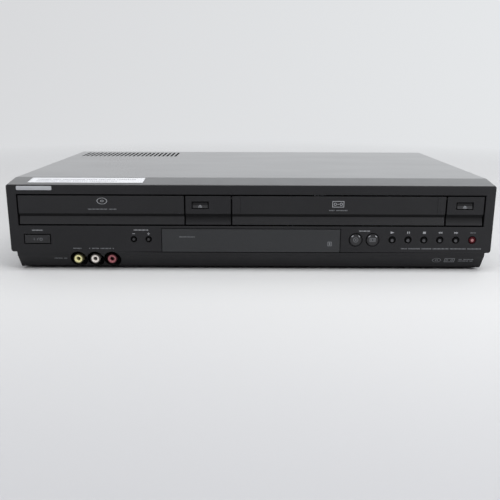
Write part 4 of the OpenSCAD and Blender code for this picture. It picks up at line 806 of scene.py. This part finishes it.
def screw_set():
    """The cover's screws: two at each side and three behind."""
    low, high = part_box("cover_screws")
    side_r, side_proud, rear_r, rear_proud = 3.4, 0.8, 3.2, 1.4
    side, rear = cross_head(side_r, side_proud, 5), cross_head(rear_r, rear_proud, 5.4)
    side_x, side_z, front_y = high.x - side_proud * MM, low.z + side_r * MM, low.y + side_r * MM
    rear_y, rear_z = high.y - rear_proud * MM, high.z - rear_r * MM
    meshes = [round_part("screw", *side, lambda a, u, v: (way * (side_x + a), y + u, side_z + v))
              for way in (-1, 1) for y in (front_y, front_y + SIDE_SCREW_PITCH)]
    meshes += [round_part("screw", *rear, lambda a, u, v: (x + u, rear_y + a, rear_z + v))
               for x in (-REAR_SCREW_PITCH, 0, REAR_SCREW_PITCH)]
    return joined("cover_screw_set", meshes)


def socket_set():
    """The two F sockets, at the ends of their node's box."""
    low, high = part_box("aerial_sockets")
    reach = (high.z - low.z) / 2
    return joined("aerial_sockets_threaded", [
        aerial_socket(x, low, high) for x in (low.x + reach, high.x - reach)])


sockets = piece("aerial_sockets_threaded", socket_set(), "cabinet", NICKEL)
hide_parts("aerial_sockets")
screws = piece("cover_screw_set", screw_set(), "cabinet", SCREW)
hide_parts("cover_screws")


# ---- printed signs ----


def bar(x, z, width, height):
    """A plain bar: its corners stand half its width and height from its middle."""
    w, h = width / 2, height / 2
    return [np.array([(x - w, z - h), (x + w, z - h), (x + w, z + h), (x - w, z + h)])]


def arrow(x, z, width, height, turn=0):
    """A triangle that points right, or towards turn degrees."""
    w, h = width / 2, height / 2
    c, s = math.cos(math.radians(turn)), math.sin(math.radians(turn))
    corners = np.array([(-w, -h), (w, 0), (-w, h)])
    return [corners @ np.array([[c, s], [-s, c]]) + (x, z)]


def ring(x, z, radius, width, start=0, turn=360, tall=1.0):
    """A ring, or a part of one, as short wedges. tall squeezes its height."""
    steps = max(6, int(abs(turn) / 12))
    angle = np.radians(start + turn * np.arange(steps + 1) / steps)
    outward = np.stack([np.cos(angle), np.sin(angle) * tall], axis=1)
    outer, inner = outward * radius + (x, z), outward * (radius - width) + (x, z)
    return [np.array([inner[i], outer[i], outer[i + 1], inner[i + 1]]) for i in range(steps)]


def dot(x, z, radius):
    """A filled round: a polygon with a corner every 20 degrees at this radius."""
    angle = np.radians(np.arange(0, 360, 20))
    return [np.stack([x + radius * np.cos(angle), z + radius * np.sin(angle)], axis=1)]


def outline(x, z, width, height, line):
    """A rectangle drawn with a line."""
    w, h = width / 2 - line / 2, height / 2 - line / 2
    return (bar(x, z + h, width, line) + bar(x, z - h, width, line)
            + bar(x - w, z, line, height - 2 * line) + bar(x + w, z, line, height - 2 * line))


def words(x0, x1, z, shares=(1,), height=0.9, pitch=1.15):
    """Groups of short dashes, three widths in turn, where the letters of a line of words would stand."""
    gap = 1.1
    length = (x1 - x0 - gap * (len(shares) - 1)) / sum(shares)
    starts = x0 + np.cumsum([0] + list(shares[:-1])) * length + gap * np.arange(len(shares))
    dashes = []
    for start, share in zip(starts, shares):
        count = max(1, round(share * length / pitch))
        step = share * length / count
        for i in range(count):
            dashes += bar(start + (i + 0.5) * step, z, step * (0.5, 0.74, 0.62)[i % 3], height)
    return dashes


def on_front(depth):
    """The front surface: depth gives how far it lies behind the face at a height."""
    return lambda flat: np.stack([flat[:, 0], FACE_Y + depth(flat[:, 1]) - PRINT, flat[:, 1]], axis=1)


def printed(name, body, finish, shapes, surface):
    """Thin ink on a surface: the shapes' corners are in millimetres, and surface gives the points for
    them, in metres."""
    ends = np.cumsum([len(shape) for shape in shapes])
    faces = [list(range(end - len(shape), end)) for shape, end in zip(shapes, ends.tolist())]
    mesh = bpy.data.meshes.new(name)
    mesh.from_pydata(surface(np.concatenate(shapes) * MM).tolist(), [], faces)
    modifier(piece(name, mesh, body, finish), "ink_thickness", "SOLIDIFY", thickness=0.02 * MM, offset=0)


def level(z):
    """No depth behind the face, at any height."""
    return np.zeros_like(z)


def at(node):
    """A node's middle as (x, z) in millimetres."""
    centre = middle(node)
    return centre.x / MM, centre.z / MM


def front_signs():
    """Signs on the fixed front, over the buttons."""
    power_x, power_z = at("power_button")
    down_x, tracking_z = at("tracking_down_button")
    up_x = at("tracking_up_button")[0]
    sign_z = tracking_z + 5.1
    shapes = words(power_x - 4.5, power_x + 5.1, power_z + 8.1)
    shapes += words(down_x, up_x, tracking_z + 8.5)
    shapes += bar(down_x, sign_z, 2.4, 0.45) + bar(up_x, sign_z, 2.4, 0.45) + bar(up_x, sign_z, 0.45, 2.4)
    disc_x, row_z = at("select_disc_button")
    select_x = (disc_x + at("select_tape_button")[0]) / 2
    shapes += words(select_x - 5, select_x + 5, row_z + 8)
    play_x, pause_x, stop_x, back_x, on_x = (at(node)[0] for node in KEYS)
    sign_z = row_z + 6.7
    shapes += arrow(play_x, sign_z, 3.4, 2.2)
    shapes += bar(pause_x - 0.8, sign_z, 0.8, 2) + bar(pause_x + 0.8, sign_z, 0.8, 2)
    shapes += bar(stop_x, sign_z, 2.5, 1.9)
    for x, turn in ((back_x, 180), (on_x, 0)):
        shapes += arrow(x - 0.9, sign_z, 1.8, 1.9, turn) + arrow(x + 0.9, sign_z, 1.8, 1.9, turn)
    return shapes


def jack_signs():
    """Lines of dashes over and beside the front jacks, and under and over the record button."""
    video_x, jack_z = at("front_jack_yellow")
    left_x, right_x = at("front_jack_white")[0], at("front_jack_red")[0]
    shapes = words(video_x - 3.8, video_x + 3.8, jack_z + 10)
    shapes += words(left_x - 5, right_x + 2.6, jack_z + 10, (1, 4, 6, 1))
    shapes += words(video_x - 22.2, video_x - 10.4, jack_z + 0.1, (5, 2))
    record_x, row_z = at("record_button")
    shapes += words(record_x - 63.3, record_x + 8.6, row_z - 8, (3, 6, 5, 8, 8, 7), 1)
    shapes += words(record_x - 2.6, record_x + 2.6, row_z + 6.7, (1,), 0.8)
    return shapes


def plinth_signs():
    """Small signs at the right of the plinth: a disc, a cassette and two lines of dashes."""
    x, z = at("record_button")[0], FOLD_Z / MM - 7.6
    shapes = ring(x - 29.4, z, 4, 0.5, tall=0.55) + ring(x - 29.4, z, 1.5, 0.5, tall=0.55)
    shapes += outline(x - 17.8, z, 9.2, 4.2, 0.5)
    shapes += ring(x - 20, z, 1.1, 0.4) + ring(x - 15.6, z, 1.1, 0.4)
    shapes += words(x - 9.9, x + 3.6, z + 0.9, (1, 3)) + words(x - 9.9, x + 3.6, z - 0.9, (3, 1))
    return shapes


def disc_sign(x, z):
    """A disc seen a little from above: two rings, squeezed in height."""
    return ring(x, z, 4.6, 0.55, tall=0.62) + ring(x, z, 1.5, 0.5, tall=0.62)


def tape_sign(x, z):
    """A cassette: an outline, two reels and the tape window between them."""
    return (outline(x, z, 10.4, 5.6, 0.5) + ring(x - 2.6, z, 1.3, 0.45) + ring(x + 2.6, z, 1.3, 0.45)
            + bar(x, z, 1.7, 0.45))


def window_signs():
    """A line of dashes, and an upright bar in a frame."""
    x, z = at("display_window")
    return (words(x - 64.3, x - 49.9, z + 3.4, (1,), 0.8)
            + outline(x + 70.4, z - 2.6, 3.7, 4, 0.5) + bar(x + 70.4, z - 2.6, 1.2, 2.4))


door_x, door_z = at("disc_door")
flap_x, flap_z = at("cassette_door")
for name, body, finish, shapes, depth in (
        ("front_signs", "cabinet", INK, front_signs(), level),
        ("jack_signs", "cabinet", INK_DIM, jack_signs(), front_depth),
        ("plinth_signs", "cabinet", INK_DIM, plinth_signs(), front_depth),
        ("disc_door_sign", "tray", INK, disc_sign(door_x + 1, door_z + 8.3), level),
        ("disc_door_line", "tray", INK_DIM, words(door_x - 12, door_x + 13.6, door_z + 1, (5, 2)), level),
        ("cassette_door_sign", "cassette_door", INK, tape_sign(flap_x - 0.7, flap_z + 6.1), level),
        ("cassette_door_line", "cassette_door", INK_DIM,
         words(flap_x - 8.9, flap_x + 7.7, flap_z + 0.5, (2, 4)), level),
        ("window_signs", "cabinet", INK_DIM, window_signs(), level)):
    printed(name, body, finish, shapes, on_front(depth))


# ---- signs on the caps, and painted highlights on the select caps ----


def power_sign(x, z):
    """On, a slash, and the standby ring with its gap at the top."""
    slash = np.array([(x - 0.75, z - 1.1), (x - 0.35, z - 1.1), (x + 0.65, z + 1.1), (x + 0.25, z + 1.1)])
    return (bar(x - 3.2, z, 0.4, 2.2) + [slash] + ring(x + 3, z - 0.1, 1.35, 0.4, 125, 290)
            + bar(x + 3, z + 0.75, 0.4, 1.5))


def eject_sign(x, z):
    """A triangle over a bar."""
    return arrow(x, z + 0.35, 1.7, 3.6, 90) + bar(x, z - 1.05, 3.6, 0.5)


def eject_depth(centre_z):
    """The lower half of an eject cap leans out from its middle to its foot."""
    return lambda z: 0.5 * MM + 0.24 * (z - centre_z)


power_x, power_z = at("power_button")
printed("power_cap_sign", "power_button", INK_DIM, power_sign(power_x + 0.3, power_z),
        on_front(lambda z: np.abs(z - power_z * MM) * 0.027 - 0.1 * MM))
for name in ("disc_eject", "tape_eject"):
    eject_x, eject_z = at(name + "_button")
    printed(name + "_cap_sign", name + "_button", INK_DIM, eject_sign(eject_x, eject_z - 0.6),
            on_front(eject_depth(eject_z * MM)))


def disc_mark(x, z):
    """A disc and its hole."""
    return ring(x, z, 2.2, 0.4) + ring(x, z, 0.8, 0.35)


def tape_mark(x, z):
    """A cassette with two filled reels."""
    return outline(x, z, 5.2, 3.2, 0.4) + dot(x - 1.2, z, 0.6) + dot(x + 1.2, z, 0.6)


def cap_face(z):
    """The select caps' faces stand a little in front of the face."""
    return level(z) - 0.45 * MM


for name, mark in (("select_disc", disc_mark), ("select_tape", tape_mark)):
    cap_x, cap_z = at(name + "_button")
    # pale arcs at the upper left and upper right of each select cap are painted highlights on its rim
    rim_highlights = ring(cap_x, cap_z, 4.8, 0.6, 118, 26) + ring(cap_x, cap_z, 4.8, 0.6, 36, 26)
    printed(name + "_cap_sign", name + "_button", INK_DIM, mark(cap_x, cap_z), on_front(cap_face))
    printed(name + "_cap_rim_highlights", name + "_button", LABEL_INK_AND_HIGHLIGHT, rim_highlights, on_front(cap_face))


# ---- badge and label ----


def badge_plate():
    """A raised plate with round corners: a rounded rectangle carried through a small edge profile."""
    x, z = 24.6 - HALF_W / MM, SLOPE_FRONT / MM - 3.5
    width, height, thick, radius = 31, 3.6, 0.35, 0.9
    angle = np.linspace(0, 2 * np.pi, 49)[:-1]
    corner = np.sign(np.cos(angle)), np.sign(np.sin(angle))
    rows = []
    for inset, rise in ((0, 0), (0, thick * 0.6), (0.12, thick * 0.9), (0.3, thick)):
        reach = radius - inset
        rows.append(np.stack([
            x + corner[0] * (width / 2 - radius) + reach * np.cos(angle), np.full(48, -rise),
            z + corner[1] * (height / 2 - radius) + reach * np.sin(angle)], axis=1))
    rows.append(np.tile([x, -thick, z], (48, 1)))
    return grid_mesh("badge_plate", np.array(rows) * MM + (0, FACE_Y, 0), wrap=True)


piece("badge_plate", badge_plate(), "cabinet", BADGE)


def label_sheet():
    """A thin label on the slope: a grid over its length and depth, lifted by its own thickness and by
    a slow ripple of a few hundredths."""
    left, length, front, depth, lift = 17.6, 101.9, 4.6, 16, 0.16
    u, v = np.meshgrid(np.linspace(0, 1, 60), np.linspace(0, 1, 10))
    x = (left + length * u) * MM - HALF_W
    back = (front + depth * v) * MM
    ripple = 0.02 * MM * np.sin(9 * u + 3 * v) * np.sin(np.pi * u)
    z = SLOPE_FRONT + (SLOPE_BACK - SLOPE_FRONT) * back / SLOPE_DEPTH + lift * MM + ripple
    return grid_mesh("label_sheet", np.stack([x, FACE_Y + back, z], axis=-1))


def on_label(flat):
    """The label's face: x from the left end of the front, and the distance back along the slope."""
    rise = (SLOPE_BACK - SLOPE_FRONT) / SLOPE_DEPTH
    return np.stack([flat[:, 0] - HALF_W, FACE_Y + flat[:, 1],
                     SLOPE_FRONT + rise * flat[:, 1] + 0.22 * MM], axis=1)


label = piece("label_sheet", label_sheet(), "cabinet", LABEL)
label_shapes = words(24, 112, 14.6, (5, 3, 8, 4, 6, 7), 2.2, 1.9) + words(24, 96, 9.4, (7, 4, 5, 9), 2.2, 1.9)
printed("label_lines", "cabinet", LABEL_INK_AND_HIGHLIGHT, label_shapes, on_label)
modifier(label, "stock", "SOLIDIFY", thickness=0.08 * MM)


# ---- studio ----

PAPER_SHADE_Y = (-0.46, -0.22)
PAPER_PALE_FROM = (0.5, 1.3)
PAPER_LIGHT_X = (-0.9, 0.9)


def seen_rays(tree):
    """1 for the rays that show the background: the camera's, and those that gloss and glass send on."""
    path = tree.nodes.new("ShaderNodeLightPath")
    shown = path.outputs["Is Camera Ray"]
    for kind in ("Is Glossy Ray", "Is Transmission Ray"):
        most = tree.nodes.new("ShaderNodeMath")
        most.operation = "MAXIMUM"
        tree.links.new(shown, most.inputs[0])
        tree.links.new(path.outputs[kind], most.inputs[1])
        shown = most.outputs[0]
    return shown


def sweep():
    """A floor that turns up into a back wall: a profile of floor, quarter round and wall, carried
    along x."""
    turn = np.linspace(0, math.pi / 2, 24)
    radius, wall_y, reach, half_width = 0.7, 1.9, 4.0, 4.5
    y = np.concatenate([[-reach, 0.0], wall_y - radius + radius * np.sin(turn), [wall_y]])
    z = np.concatenate([[0.0, 0.0], radius - radius * np.cos(turn), [reach]])
    x = np.linspace(-half_width, half_width, 3)
    return grid_mesh("studio_sweep", np.stack([
        np.repeat(x[:, None], len(y), 1), np.repeat(y[None], 3, 0), np.repeat(z[None], 3, 0)], axis=-1))


def paper_white():
    """Seamless paper with a faint cloud, painted a little greyer towards its front end as shade. Far from the
    object, where the lamps don't reach, it is seen evenly pale, and painted light makes it a little paler to
    the right."""
    made = Finish("sweep_paper", tone(226, 226, 227), 0.85, specular=0.1)
    clean = made.mixed(made.spread(made.grain(600)), tone(221, 222, 224), tone(225, 226, 227))
    # painted shade: the paper is painted greyer towards its front end, where the light falls off
    front = made.spread(made.along("Y"), 1, 0, *PAPER_SHADE_Y)
    made.tint(front, clean, tone(198, 199, 202))
    far = made.spread(made.length(made.place), 0, 1, *PAPER_PALE_FROM)
    far = made.math("MULTIPLY", far, seen_rays(made.tree))
    # painted light: the far paper is seen a little paler to the right
    pale = made.add("Emission", inputs={"Color": made.mixed(
        made.spread(made.along("X"), 0, 1, *PAPER_LIGHT_X), tone(217, 218, 220), tone(229, 231, 233))})
    lit = made.add("MixShader", inputs={0: far, 1: made.shader.outputs[0], 2: pale})
    made.tree.links.new(lit, made.tree.nodes["Material Output"].inputs["Surface"])
    return made


floor_mesh = sweep()
floor_mesh.materials.append(paper_white().material)
floor = bpy.data.objects.new("studio_sweep", floor_mesh)
bpy.context.scene.collection.objects.link(floor)


def softbox(name, place, aim, size, watts):
    """A rectangular lamp that points at a place."""
    lamp = bpy.data.lights.new(name, "AREA")
    lamp.shape = "RECTANGLE"
    lamp.size, lamp.size_y = size
    lamp.energy = watts
    made = bpy.data.objects.new(name, lamp)
    made.location = place
    made.rotation_euler = (Vector(aim) - Vector(place)).to_track_quat("-Z", "Y").to_euler()
    bpy.context.scene.collection.objects.link(made)


softbox("overhead", (0.15, -0.75, 2.0), (0.05, -0.3, 0), (2.4, 1.6), 30.5)
softbox("wash_left", (-1.3, 0.9, 2.0), (-0.6, 1.2, 0.1), (1.2, 0.8), 4)
softbox("wash_right", (1.3, 0.9, 2.0), (0.6, 1.2, 0.1), (1.2, 0.8), 6)
softbox("front_left", (-0.95, -1.05, 0.65), (-0.15, -0.13, 0.05), (0.6, 0.4), 2.4)
softbox("front_right", (1.0, -0.95, 0.65), (0.2, -0.13, 0.05), (0.6, 0.4), 6)
softbox("low_right", (0.62, -0.5, 0.3), (0.2, -0.13, 0.02), (0.3, 0.2), 0.5)

world = bpy.data.worlds.new("studio_light")
world.use_nodes = True
sky = world.node_tree.nodes
sky["Background"].inputs["Color"].default_value = tone(244, 243, 244)
sky["Background"].inputs["Strength"].default_value = 0.3
seen, choice = sky.new("ShaderNodeBackground"), sky.new("ShaderNodeMixShader")
seen.inputs["Color"].default_value = tone(222, 223, 225)
for output, socket in ((seen_rays(world.node_tree), choice.inputs[0]),
                       (sky["Background"].outputs[0], choice.inputs[1]),
                       (seen.outputs[0], choice.inputs[2]),
                       (choice.outputs[0], sky["World Output"].inputs["Surface"])):
    world.node_tree.links.new(output, socket)
bpy.context.scene.world = world
bpy.context.scene.view_settings.view_transform = "Standard"

# the camera stands 0.55 m in front of the face and looks down on it
CAMERA_PLACE = (0, -0.68365, 0.1613)
CAMERA_DOWN, CAMERA_ROLL = 14.35, 0.2
FRAME_PX, FOCAL_PX, CENTRE_PX = 500, 633.3, 250.9
SENSOR = 36
camera = bpy.data.cameras.new("camera")
camera.sensor_width = SENSOR
camera.lens = SENSOR * FOCAL_PX / FRAME_PX
camera.shift_x = (FRAME_PX / 2 - CENTRE_PX) / FRAME_PX
viewer = bpy.data.objects.new("camera", camera)
viewer.matrix_world = (Matrix.Translation(CAMERA_PLACE)
                       @ Matrix.Rotation(math.radians(90 - CAMERA_DOWN), 4, "X")
                       @ Matrix.Rotation(math.radians(CAMERA_ROLL), 4, "Z"))
bpy.context.scene.collection.objects.link(viewer)
bpy.context.scene.camera = viewer
